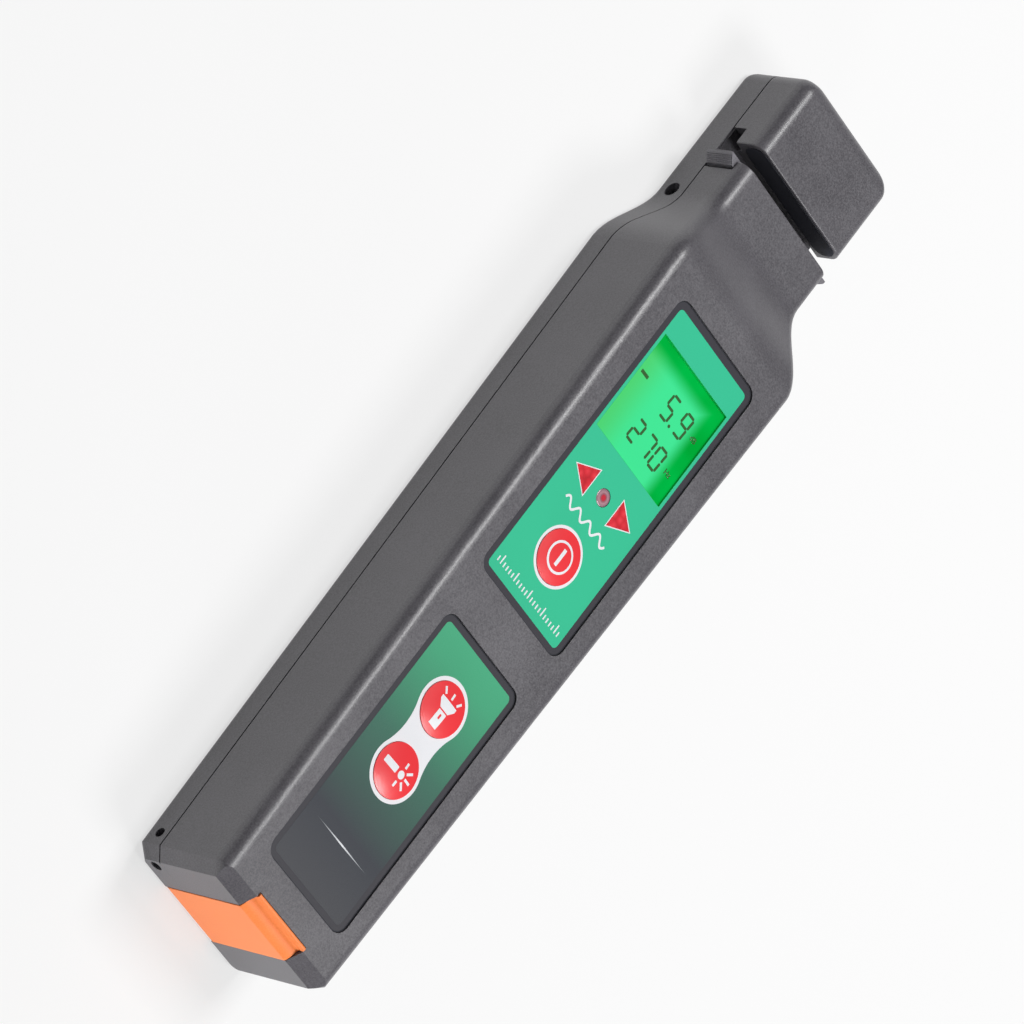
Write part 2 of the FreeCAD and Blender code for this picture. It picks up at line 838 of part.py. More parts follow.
# Slot, press block and head
BLOCK_TOP = f"({SLOT_START} + sz.block_rise)"
BLOCK_LOW = f"({BLOCK_TOP} - sz.block_length)"
BLOCK_ZONE_LOW = f"({BLOCK_LOW} - 2 * sz.block_gap)"
BLOCK_Z = "(sz.neck_seam_height + sz.block_gap)"
BLOCK_ROOF = f"({NECK_FRONT} - sz.block_roof)"
BRIDGE_LOW = "(sz.neck_seam_height - sz.bridge_thickness)"
CHANNEL_ROOF = f"({SLOT_END} + sz.channel_height)"
BRIDGE_START = f"({BLOCK_ZONE_LOW} - sz.bulkhead)"
ANVIL_START = f"({CHANNEL_ROOF} - sz.anvil_drop)"
ANVIL_END = f"({ANVIL_START} + sz.anvil_length)"
DETECTOR_BOARD_END = f"({ANVIL_END} + sz.detector_board_thickness)"

# Trigger well and slide
WELL_TOP = "(sz.well_depth + sz.well_floor)"
CARRIAGE_LOW = f"({WELL_TOP} + sz.running_gap)"
CARRIAGE_TOP = f"({CARRIAGE_LOW} + sz.carriage_thickness)"
RAIL_TOP = f"({CARRIAGE_TOP} + sz.running_gap)"
WELL_END = "(sz.well_start + sz.well_length)"
TRIGGER_START = "(sz.well_start + (sz.well_length - sz.trigger_length - sz.slide_travel) / 2)"
STEM_START = f"({TRIGGER_START} + (sz.trigger_length - sz.stem_length) / 2)"
STEM_END = f"({STEM_START} + sz.stem_length)"
STEM_MIDDLE = f"({STEM_START} + sz.stem_length / 2)"
RETAINER_START = f"({STEM_MIDDLE} + sz.screw_head_diameter / 2 + sz.slide_travel + sz.retainer_gap)"
RETAINER_END = f"({RETAINER_START} + sz.retainer_length)"
RAIL_X = f"({half('sz.carriage_width')} + sz.running_gap)"
RAIL_OUTER = f"({RAIL_X} + sz.rail_width)"
RETAINER_SCREW_X = f"({RAIL_X} + sz.rail_width / 2)"
GUIDE_END = f"({BRIDGE_START} - sz.running_gap)"
GUIDE_START = f"({GUIDE_END} - sz.guide_length)"
SPRING_START = f"({GUIDE_START} - sz.spring_length)"
TAB_START = f"({SPRING_START} - sz.spring_tab_thickness)"
SPRING_Z = f"({RAIL_TOP} + sz.running_gap + sz.spring_diameter / 2)"
SIDE_SCREW_PLACE = f"({GUIDE_START} + sz.guide_length / 2)"

# Battery bay
BAY_INNER = "(sz.cell_spacing / 2 + sz.cell_diameter / 2 + sz.bay_margin)"
BAY_OUTER = f"({BAY_INNER} + sz.bay_wall)"
CELL_START = "(sz.bay_start + sz.bay_wall + sz.contact_thickness + sz.seat_clearance)"
CELL_END = f"({CELL_START} + sz.cell_length + sz.cell_nub_length)"
UPPER_CONTACT = f"({CELL_END} + sz.contact_spring_length + 2 * sz.seat_clearance)"
BAY_END = f"({UPPER_CONTACT} + sz.contact_thickness + sz.bay_wall)"
BAY_TOP = "(sz.rear_wall + sz.bay_height)"
DOOR_START = "(sz.bay_start - sz.door_ledge)"
DOOR_END = f"({BAY_END} + sz.door_ledge)"
DOOR_HALF = f"({BAY_INNER} + sz.door_ledge)"
DOOR_SEAT = "(sz.door_inset + sz.door_thickness + sz.seat_clearance)"


def case_cavity(name, low, high):
    """Hollow inside the case over a stretch of its length."""
    return common(name, inner_form, block(f"{name}_limit", WIDE, stretch(low, high), HIGH))


def holes_at(name, places, diameter, low, high):
    """One upright hole or post at each place."""
    return [
        rod(f"{name}_{key}", diameter, "z", x, along(y), low, f"({high}) - ({low})")
        for key, (x, y) in places.items()
    ]


def make_front_shell():
    blank = common(
        "front_blank",
        cut("front_half", case_blank, rear_zone),
        block("front_limit", WIDE, stretch(PAST_END, SLOT_START), HIGH),
    )
    rounded = ease_rim("front_rounded", blank, value(along(SLOT_START)))
    hollow = cut("front_hollow", rounded, case_cavity("front_cavity", "sz.end_wall", BRIDGE_START))
    root = f"({FRONT_INSIDE} + {ROOT})"
    bosses = holes_at("case_boss", CASE_SCREWS, "sz.screw_boss_diameter", "sz.seam_height", root)
    bosses += holes_at("board_boss", BOARD_SCREWS, "sz.board_boss_diameter", BOARD_TOP, root)
    rib_half = "((sz.barrel_diameter + sz.barrel_rib) / 2)"
    rib = block(
        "barrel_rib",
        (f"({LASER_X} - {rib_half})", f"({LASER_X} + {rib_half})"),
        stretch(f"({BARREL_END} - 3 * sz.barrel_rib)", f"({BARREL_END} - 2 * sz.barrel_rib)"),
        ("(sz.port_height - sz.barrel_diameter / 2)", root),
    )
    solid = joined("front_solid", hollow, rib, *bosses)
    tools = [flap_space]
    for name, low, high, width in (
        ("lower_recess", "sz.lower_recess_start", LOWER_RECESS_END, "sz.lower_recess_width"),
        ("upper_recess", UPPER_RECESS_START, UPPER_RECESS_END, "sz.upper_recess_width"),
    ):
        tools.append(
            plate(name, both_sides(width), stretch(low, high), (OVERLAY_SEAT, HIGH[1]), "sz.recess_corner")
        )
    through = (f"({FRONT_INSIDE} - {ROOT})", HIGH[1])
    keys = {"laser": ("0", LASER_KEY), "torch": ("0", TORCH_KEY), "power": ("0", POWER_KEY)}
    tools += holes_at("key_hole", keys, KEY_HOLE, *through)
    tools += holes_at("signal_hole", {"light": ("0", SIGNAL)}, SIGNAL_HOLE, *through)
    tools += [
        prism(f"{side}_arrow_hole", "XY_Plane", arrow_outline(sign, "sz.seat_clearance"), through)
        for side, sign in (("left", "-1"), ("right", "1"))
    ]
    tools.append(
        block(
            "glass_hole",
            both_sides(f"({GLASS_WIDTH} + 2 * sz.seat_clearance)"),
            display_stretch(f"({GLASS_LENGTH} + 2 * sz.seat_clearance)"),
            through,
        )
    )
    pilot_top = f"({SCREW_SEAT} + sz.case_screw_length + sz.pilot_margin)"
    tools += holes_at("case_pilot", CASE_SCREWS, SCREW_HOLE, "sz.seam_height", pilot_top)
    board_pilot = f"({BOARD_LOW} + sz.board_screw_length + sz.pilot_margin)"
    tools += holes_at("board_pilot", BOARD_SCREWS, SCREW_HOLE, BOARD_LOW, board_pilot)
    port_reach = f"(sz.end_wall + {PAST})"
    for name, x, diameter, reach in (
        ("sleeve_hole", LASER_X, "(sz.sleeve_diameter + 2 * sz.screw_clearance)", port_reach),
        ("barrel_hole", LASER_X, "(sz.barrel_diameter + 2 * sz.screw_clearance)", BARREL_END),
        ("torch_hole", TORCH_X, TORCH_HOLE, port_reach),
    ):
        start = "(sz.end_wall + sz.sleeve_flange_thickness)" if name == "barrel_hole" else "0"
        tools.append(rod(name, diameter, "y", x, along(start), "sz.port_height", f"({reach} - {start})"))
    tools.append(
        block(
            "block_zone",
            WIDE,
            stretch(BLOCK_ZONE_LOW, f"({SLOT_START} + {PAST})"),
            ("sz.neck_seam_height", BLOCK_ROOF),
        )
    )
    return cut("front_shell", solid, *tools)


def make_head_cover():
    blank = common(
        "head_blank",
        cut("head_half", case_blank, rear_zone),
        block("head_limit", WIDE, stretch(SLOT_END, PAST_HEAD), HIGH),
    )
    rounded = ease_rim("head_rounded", blank, value(along(SLOT_END)))
    cavity = case_cavity("head_cavity", f"({SLOT_END} + sz.wall)", f"({CASE_LENGTH} - sz.wall)")
    hollow = cut("head_hollow", rounded, cavity)
    root = f"({NECK_FRONT} - sz.front_wall + {ROOT})"
    bosses = holes_at("head_boss", HEAD_SCREWS, "sz.screw_boss_diameter", "sz.neck_seam_height", root)
    solid = joined("head_solid", hollow, *bosses)
    channel = block(
        "fibre_channel",
        WIDE,
        stretch(f"({SLOT_END} - {PAST})", CHANNEL_ROOF),
        ("sz.neck_seam_height", "(sz.neck_seam_height + sz.channel_depth)"),
    )
    pilot_top = f"({SCREW_SEAT} + sz.head_screw_length + sz.pilot_margin)"
    pilots = holes_at("head_pilot", HEAD_SCREWS, SCREW_HOLE, "sz.neck_seam_height", pilot_top)
    return cut("head_cover", solid, channel, *pilots)


def make_rear_shell():
    blank = common("rear_blank", case_blank, rear_zone)
    cavity = case_cavity("rear_cavity", "sz.end_wall", f"({CASE_LENGTH} - sz.wall)")
    bridge = block(
        "slot_bridge",
        WIDE,
        stretch(BRIDGE_START, DETECTOR_BOARD_END),
        (BRIDGE_LOW, "(2 * sz.neck_seam_height)"),
    )
    hollow = cut("rear_hollow", blank, cut("rear_hollow_space", cavity, bridge))
    floor = f"(sz.rear_wall - {ROOT})"
    ribs = holes_at("case_post", CASE_SCREWS, "sz.screw_boss_diameter", floor, "sz.seam_height")
    ribs += holes_at("head_post", HEAD_SCREWS, "sz.screw_boss_diameter", floor, "sz.neck_seam_height")
    bay = cut(
        "bay",
        block(
            "bay_outside",
            both_sides(f"(2 * {BAY_OUTER})"),
            stretch("sz.bay_start", BAY_END),
            (floor, BAY_TOP),
        ),
        block(
            "bay_inside",
            both_sides(f"(2 * {BAY_INNER})"),
            stretch("(sz.bay_start + sz.bay_wall)", f"({BAY_END} - sz.bay_wall)"),
            ("0", f"({BAY_TOP} + {PAST})"),
        ),
    )
    margin = "(sz.well_width + 2 * sz.wall)"
    well_walls = stretch("(sz.well_start - sz.wall)", f"({WELL_END} + sz.wall)")
    ribs.append(block("well_boss", both_sides(margin), well_walls, (floor, WELL_TOP)))
    for side, (low, high) in {
        "left": (minus(RAIL_OUTER), minus(RAIL_X)),
        "right": (RAIL_X, RAIL_OUTER),
    }.items():
        ribs.append(block(f"{side}_rail", (low, high), well_walls, (f"({WELL_TOP} - {ROOT})", RAIL_TOP)))
    for side, low, high in (
        ("left", minus(PIN_HALF), minus(f"({half('sz.flap_width')} + sz.flap_clearance)")),
        ("right", f"({half('sz.flap_width')} + sz.flap_clearance)", PIN_HALF),
    ):
        ribs.append(
            block(
                f"{side}_pin_block",
                (low, high),
                stretch("(sz.end_wall / 2)", "(sz.end_wall + sz.wall)"),
                (floor, "(sz.rear_wall + 2 * sz.flap_pin_diameter)"),
            )
        )
    corner = common(
        "lanyard_corner",
        groove_form,
        block(
            "lanyard_block",
            (minus("sz.end_width"), f"(sz.lanyard_block - {half('sz.end_width')})"),
            stretch("sz.seam_groove_depth", "sz.lanyard_block"),
            (floor, "(sz.seam_height - sz.seam_groove_width)"),
        ),
    )
    solid = joined("rear_solid", hollow, bay, corner, *ribs)

    tools = [seam_groove, flap_space, pin_hole]
    tools += holes_at("case_hole", CASE_SCREWS, SCREW_HOLE, minus(PAST), f"(sz.neck_seam_height + {PAST})")
    tools += holes_at("case_head_hole", CASE_SCREWS, HEAD_HOLE, minus(PAST), SCREW_SEAT)
    tools += holes_at("head_hole", HEAD_SCREWS, SCREW_HOLE, minus(PAST), f"(sz.neck_seam_height + {PAST})")
    tools += holes_at("head_head_hole", HEAD_SCREWS, HEAD_HOLE, minus(PAST), SCREW_SEAT)
    tools.append(
        plate(
            "trigger_well",
            both_sides("sz.well_width"),
            stretch("sz.well_start", WELL_END),
            (minus(PAST), "sz.well_depth"),
            "sz.well_corner",
        )
    )
    tools.append(
        block(
            "stem_slot",
            both_sides("(sz.stem_width + 2 * sz.running_gap)"),
            stretch(
                f"({STEM_START} - sz.running_gap)",
                f"({STEM_END} + sz.slide_travel + sz.running_gap)",
            ),
            (minus(PAST), f"({WELL_TOP} + sz.running_gap)"),
        )
    )
    retainer = {
        "left": (minus(RETAINER_SCREW_X), f"({RETAINER_START} + sz.retainer_length / 2)"),
        "right": (RETAINER_SCREW_X, f"({RETAINER_START} + sz.retainer_length / 2)"),
    }
    pilot = "(sz.well_depth + sz.wall / 4)"
    tools += holes_at("retainer_pilot", retainer, RETAINER_HOLE, pilot, f"({RAIL_TOP} + {PAST})")
    door_gap = "sz.door_clearance"
    tools.append(
        block(
            "door_recess",
            both_sides(f"(2 * ({DOOR_HALF} + {door_gap}))"),
            stretch(f"({DOOR_START} - {door_gap})", f"({DOOR_END} + {door_gap})"),
            (minus(PAST), DOOR_SEAT),
        )
    )
    tools.append(
        block(
            "door_opening",
            both_sides(f"(2 * {BAY_INNER})"),
            stretch("(sz.bay_start + sz.bay_wall)", f"({BAY_END} - sz.bay_wall)"),
            (minus(PAST), "(2 * sz.rear_wall)"),
        )
    )
    tools.append(
        block(
            "riser_slot",
            both_sides("(sz.carriage_width + 2 * sz.running_gap)"),
            stretch(
                f"({BRIDGE_START} - {PAST})",
                f"({BLOCK_LOW} + sz.riser_thickness + sz.slide_travel + 2 * sz.running_gap)",
            ),
            (f"({CARRIAGE_LOW} - sz.running_gap)", f"(sz.neck_seam_height + {PAST})"),
        )
    )
    for side, x, axis in (("left", minus("sz.neck_width"), "x"), ("right", "sz.neck_width", "-x")):
        reach = "sz.neck_width"
        spot = (along(SIDE_SCREW_PLACE), "sz.side_screw_height")
        tools.append(rod(f"{side}_side_hole", "sz.side_hole_diameter", axis, x, *spot, reach))
    tools.append(
        rod(
            "lanyard_side_hole",
            "sz.lanyard_hole_diameter",
            "x",
            minus("sz.end_width"),
            along("sz.lanyard_side_place"),
            "sz.lanyard_side_height",
            f"({half('sz.end_width')} + sz.lanyard_end_inset)",
        )
    )
    tools.append(
        rod(
            "lanyard_end_hole",
            "sz.lanyard_end_diameter",
            "y",
            f"(sz.lanyard_end_inset - {half('sz.end_width')})",
            along(PAST_END),
            "sz.lanyard_side_height",
            f"({PAST} + sz.lanyard_side_place + sz.lanyard_end_diameter / 2)",
        )
    )
    return cut("rear_shell", solid, *tools)


def display_stretch(length):
    """Stretch of the given length about the middle of the display."""
    return stretch(f"({DISPLAY} - ({length}) / 2)", f"({DISPLAY} + ({length}) / 2)")


def arrow_outline(sign, margin):
    """Triangle that points away from the middle, grown by a margin."""
    middle = along(SIGNAL)
    rise = f"(sz.arrow_height / 2 + {margin})"
    base = f"({sign} * (sz.arrow_base - {margin}))"
    tip = f"({sign} * (sz.arrow_tip + 2 * {margin}))"
    return [(base, f"({middle} - {rise})"), (tip, middle), (base, f"({middle} + {rise})")]


def make_overlays():
    gap = "sz.seat_clearance"
    lower = plate(
        "lower_overlay",
        both_sides(f"(sz.lower_recess_width - 2 * {gap})"),
        stretch(f"(sz.lower_recess_start + {gap})", f"({LOWER_RECESS_END} - {gap})"),
        (OVERLAY_SEAT, OVERLAY_TOP),
        f"(sz.recess_corner - {gap})",
    )
    open_plate(lower, "keys", circles=[("0", along(spot), KEY_HOLE) for spot in (LASER_KEY, TORCH_KEY)])
    upper = plate(
        "upper_overlay",
        both_sides(f"(sz.upper_recess_width - 2 * {gap})"),
        stretch(f"({UPPER_RECESS_START} + {gap})", f"({UPPER_RECESS_END} - {gap})"),
        (OVERLAY_SEAT, OVERLAY_TOP),
        f"(sz.recess_corner - {gap})",
    )
    window = rectangle(both_sides("sz.window_width"), display_stretch("sz.window_length"))
    arrows = [arrow_outline(sign, gap) for sign in ("-1", "1")]
    round_holes = [("0", along(POWER_KEY), KEY_HOLE), ("0", along(SIGNAL), SIGNAL_HOLE)]
    open_plate(upper, "openings", polygons=[window, *arrows], circles=round_holes)
    node(lower, "lower_overlay")
    node(upper, "upper_overlay")


def make_key(name, spot):
    """Domed cap on a flange that stops behind the front wall, with a stem to its switch."""
    flange_top = f"({FRONT_INSIDE} - sz.screw_clearance)"
    flange_low = f"({flange_top} - sz.key_flange_thickness)"
    cap_edge = f"({OVERLAY_TOP} + sz.key_rise)"
    cap_top = f"({cap_edge} + sz.key_crown)"
    dome_radius = "((sz.key_diameter ^ 2 / 4 + sz.key_crown ^ 2) / (2 * sz.key_crown))"
    y = along(spot)
    ball = doc.addObject("Part::Sphere", f"{name}_ball")
    ball.setExpression("Radius", dome_radius)
    place(ball, "0", y, f"({cap_top} - {dome_radius})")
    cap = rod(f"{name}_cap", "sz.key_diameter", "z", "0", y, flange_low, f"({cap_top} - {flange_low})")
    flange = rod(
        f"{name}_flange",
        f"({KEY_HOLE} + 2 * sz.key_flange_margin)",
        "z",
        "0",
        y,
        flange_low,
        "sz.key_flange_thickness",
    )
    stem_length = f"({flange_low} - {PLUNGER_TOP} + {ROOT})"
    stem = rod(f"{name}_stem", "sz.key_stem_diameter", "z", "0", y, PLUNGER_TOP, stem_length)
    node(joined(name, common(f"{name}_dome", cap, ball), flange, stem), name)


def make_switch(name, spot):
    """Switch housing on the board and the plunger that travels in it with the key."""
    y = along(spot)
    plunger_length = f"({PLUNGER_TOP} - {PLUNGER_LOW})"
    plunger = rod(
        f"{name}_plunger", "sz.plunger_diameter", "z", "0", y, PLUNGER_LOW, plunger_length
    )
    node(plunger, f"{name}_plunger")
    margin = half("sz.switch_width")
    housing = block(
        f"{name}_housing",
        both_sides("sz.switch_width"),
        stretch(f"({spot} - {margin})", f"({spot} + {margin})"),
        (BOARD_TOP, f"({BOARD_TOP} + sz.switch_height)"),
    )
    hole = "(sz.plunger_diameter + 2 * sz.running_gap)"
    floor = f"({BOARD_TOP} + sz.running_gap / 2)"
    shaft = rod(f"{name}_shaft", hole, "z", "0", y, floor, "(2 * sz.switch_height)")
    return cut(f"{name}_switch", housing, shaft)


def make_keys_and_switches():
    spots = {"power": POWER_KEY, "torch": TORCH_KEY, "laser": LASER_KEY}
    for name, spot in spots.items():
        make_key(f"{name}_key", spot)
    node(group("key_switches", [make_switch(name, spot) for name, spot in spots.items()]), "key_switches")


def make_display():
    glass_low = f"({OVERLAY_SEAT} - sz.glass_thickness)"
    backlight_low = f"({glass_low} - sz.backlight_thickness)"
    width, length = both_sides(GLASS_WIDTH), display_stretch(GLASS_LENGTH)
    node(block("display_glass", width, length, (glass_low, OVERLAY_SEAT)), "display_glass")
    node(block("display_backlight", width, length, (backlight_low, glass_low)), "display_backlight")
    holder = cut(
        "display_holder",
        block("holder_outside", width, length, (BOARD_TOP, backlight_low)),
        block(
            "holder_inside",
            both_sides(f"({GLASS_WIDTH} - 2 * sz.holder_wall)"),
            display_stretch(f"({GLASS_LENGTH} - 2 * sz.holder_wall)"),
            (BOARD_LOW, glass_low),
        ),
    )
    node(holder, "display_holder")


def make_signal_lights():
    bar = block(
        "guide_bar",
        both_sides("(2 * sz.arrow_tip)"),
        stretch(f"({SIGNAL} - sz.guide_bar_height / 2)", f"({SIGNAL} + sz.guide_bar_height / 2)"),
        (f"({FRONT_INSIDE} - sz.guide_bar_thickness)", FRONT_INSIDE),
    )
    arrows = [
        prism(
            f"{side}_arrow",
            "XY_Plane",
            arrow_outline(sign, "0"),
            (f"({FRONT_INSIDE} - {ROOT})", f"({OVERLAY_TOP} + sz.screw_clearance)"),
        )
        for side, sign in (("left", "-1"), ("right", "1"))
    ]
    passage = rod(
        "signal_passage", SIGNAL_HOLE, "z", "0", along(SIGNAL), BOARD_TOP, "(2 * sz.board_to_front)"
    )
    node(cut("arrow_light_guide", joined("guide_blank", bar, *arrows), passage), "arrow_light_guide")
    radius = half("sz.signal_diameter")
    flange = f"({radius} + sz.torch_flange_margin)"
    height = f"({OVERLAY_TOP} - {BOARD_TOP} - sz.seat_clearance)"
    shoulder = f"({height} - {radius} * sz.light_dome_share)"
    led = turned(
        "signal_light",
        [
            ("0", "0"),
            (flange, "0"),
            (flange, "sz.torch_flange_thickness"),
            (radius, "sz.torch_flange_thickness"),
            *domed(radius, shoulder, height),
        ],
        "0",
        along(SIGNAL),
        BOARD_TOP,
    )
    node(led, "signal_light")
    middle = "((sz.arrow_tip + 2 * sz.arrow_base) / 3)"
    chip = half("sz.light_chip_width")
    chips = [
        block(
            f"{side}_arrow_chip",
            (f"({sign} * {middle} - {chip})", f"({sign} * {middle} + {chip})"),
            stretch(f"({SIGNAL} - {chip})", f"({SIGNAL} + {chip})"),
            (BOARD_TOP, f"({BOARD_TOP} + sz.light_chip_height)"),
        )
        for side, sign in (("left", "-1"), ("right", "1"))
    ]
    node(group("arrow_light_chips", chips), "arrow_light_chips")


def make_main_board():
    board = block(
        "main_board_blank",
        both_sides("sz.board_width"),
        stretch("sz.board_start", BOARD_END),
        (BOARD_LOW, BOARD_TOP),
    )
    holes = holes_at("board_hole", BOARD_SCREWS, SCREW_HOLE, "0", FRONT)
    node(cut("main_board", board, *holes), "main_board")
    screws = [
        screw(
            f"board_screw_{key}",
            "sz.screw_diameter",
            "sz.board_screw_length",
            x,
            along(y),
            BOARD_LOW,
            "z",
            "sz.board_screw_head_height",
        )
        for key, (x, y) in BOARD_SCREWS.items()
    ]
    node(group("board_screws", screws), "board_screws")
    middle = f"({POWER_KEY} + sz.power_key_rise / 2)"
    chip = half("sz.chip_width")
    node(
        block(
            "controller_chip",
            both_sides("sz.chip_width"),
            stretch(f"({middle} - {chip})", f"({middle} + {chip})"),
            (f"({BOARD_LOW} - sz.chip_height)", BOARD_LOW),
        ),
        "controller_chip",
    )


def make_case_screws():
    for name, places, length in (
        ("case_screws", CASE_SCREWS, "sz.case_screw_length"),
        ("head_screws", HEAD_SCREWS, "sz.head_screw_length"),
    ):
        screws = [
            screw(f"{name}_{key}", "sz.screw_diameter", length, x, along(y), SCREW_SEAT, "z")
            for key, (x, y) in places.items()
        ]
        node(group(name, screws), name)


def make_battery():
    radius = half("sz.cell_diameter")
    nub = half("sz.cell_nub_diameter")
    height = "(sz.rear_wall + sz.cell_diameter / 2)"
    full = "(sz.cell_length + sz.cell_nub_length)"
    profile = [
        ("0", "0"),
        (radius, "0"),
        (radius, "sz.cell_length"),
        (nub, "sz.cell_length"),
        (nub, full),
        ("0", full),
    ]
    sides = {"left": minus(half("sz.cell_spacing")), "right": half("sz.cell_spacing")}
    cells = [turned(f"{side}_cell", profile, x, along(CELL_START), height, "y") for side, x in sides.items()]
    node(group("battery_cells", cells), "battery_cells")
    for name, start in (
        ("lower_contact", "(sz.bay_start + sz.bay_wall)"),
        ("upper_contact", UPPER_CONTACT),
    ):
        contact = block(
            name,
            both_sides(f"(2 * {BAY_INNER} - 2 * sz.bay_margin)"),
            stretch(start, f"({start} + sz.contact_thickness)"),
            ("(sz.rear_wall + sz.bay_wall)", BAY_TOP),
        )
        node(contact, name)
    springs = [
        coil(
            f"{side}_contact_spring",
            "sz.contact_spring_diameter",
            "sz.contact_wire",
            "sz.contact_spring_length",
            "sz.contact_spring_turns",
            x,
            along(f"({CELL_END} + sz.seat_clearance)"),
            height,
            "y",
        )
        for side, x in sides.items()
    ]
    node(group("contact_springs", springs), "contact_springs")
    cover = plate(
        "door_cover",
        both_sides(f"(2 * {DOOR_HALF})"),
        stretch(DOOR_START, DOOR_END),
        ("sz.door_inset", "(sz.door_inset + sz.door_thickness)"),
        "sz.door_clearance",
    )
    ledge = block(
        "door_plug",
        both_sides(f"(2 * ({BAY_INNER} - 2 * sz.door_clearance))"),
        stretch(
            "(sz.bay_start + sz.bay_wall + 2 * sz.door_clearance)",
            f"({BAY_END} - sz.bay_wall - 2 * sz.door_clearance)",
        ),
        ("(sz.door_inset + sz.door_thickness / 2)", "(sz.rear_wall - sz.seat_clearance)"),
    )
    grip = block(
        "door_grip",
        both_sides("sz.door_grip_width"),
        stretch(f"({DOOR_END} - 4 * sz.door_ledge)", f"({DOOR_END} - 2 * sz.door_ledge)"),
        (minus(PAST), "(sz.door_inset + sz.door_grip_depth)"),
    )
    node(cut("battery_door", joined("door_blank", cover, ledge), grip), "battery_door")


def make_flap():
    leaf = prism("flap_leaf", "YZ_Plane", flap_profile(), both_sides("sz.flap_width"))
    knuckle = rod(
        "flap_knuckle",
        "(2 * sz.flap_knuckle_radius)",
        "x",
        minus(half("sz.flap_width")),
        KNUCKLE_Y,
        KNUCKLE_Z,
        "sz.flap_width",
    )
    bore = rod(
        "flap_bore",
        "(sz.flap_pin_diameter + 2 * sz.flap_pin_clearance)",
        "x",
        minus("sz.flap_width"),
        KNUCKLE_Y,
        KNUCKLE_Z,
        "(2 * sz.flap_width)",
    )
    node(cut("end_flap", joined("flap_blank", leaf, knuckle), bore), "end_flap")
    pin = rod(
        "flap_pin",
        "sz.flap_pin_diameter",
        "x",
        minus(PIN_HALF),
        KNUCKLE_Y,
        KNUCKLE_Z,
        f"(2 * {PIN_HALF})",
    )
    node(pin, "flap_pin")


def make_ports():
    bore = half("sz.ferrule_bore")
    sleeve = half("sz.sleeve_diameter")
    flange = half("sz.sleeve_flange_diameter")
    seat = f"(sz.end_wall + sz.screw_clearance - {PORT_MOUTH})"
    flange_end = f"({seat} + sz.sleeve_flange_thickness)"
    profile = [
        (bore, "0"),
        (sleeve, "0"),
        (sleeve, seat),
        (flange, seat),
        (flange, flange_end),
        (sleeve, flange_end),
        (sleeve, "sz.sleeve_length"),
        (bore, "sz.sleeve_length"),
    ]
    height = "sz.port_height"
    node(turned("ferrule_sleeve", profile, LASER_X, along(PORT_MOUTH), height, "y"), "ferrule_sleeve")
    barrel = rod(
        "laser_barrel",
        "sz.barrel_diameter",
        "y",
        LASER_X,
        along(SLEEVE_END),
        height,
        "sz.barrel_length",
    )
    node(barrel, "laser_barrel")
    radius = half("sz.torch_diameter")
    rim = f"({radius} + sz.torch_flange_margin)"
    seat = "(sz.end_wall + sz.screw_clearance)"
    dome = f"({seat} - {PORT_MOUTH} - sz.seat_clearance)"
    profile = [
        ("0", minus("sz.torch_flange_thickness")),
        (rim, minus("sz.torch_flange_thickness")),
        (rim, "0"),
        (radius, "0"),
        *domed(radius, f"({dome} * (1 - sz.light_dome_share))", dome),
    ]
    node(turned("torch_light", profile, TORCH_X, along(seat), height, "-y"), "torch_light")
    board = rod(
        "torch_board",
        f"(2 * ({rim} + sz.torch_flange_margin))",
        "y",
        TORCH_X,
        along(f"({seat} + sz.torch_flange_thickness)"),
        height,
        "sz.torch_board_thickness",
    )
    node(board, "torch_board")


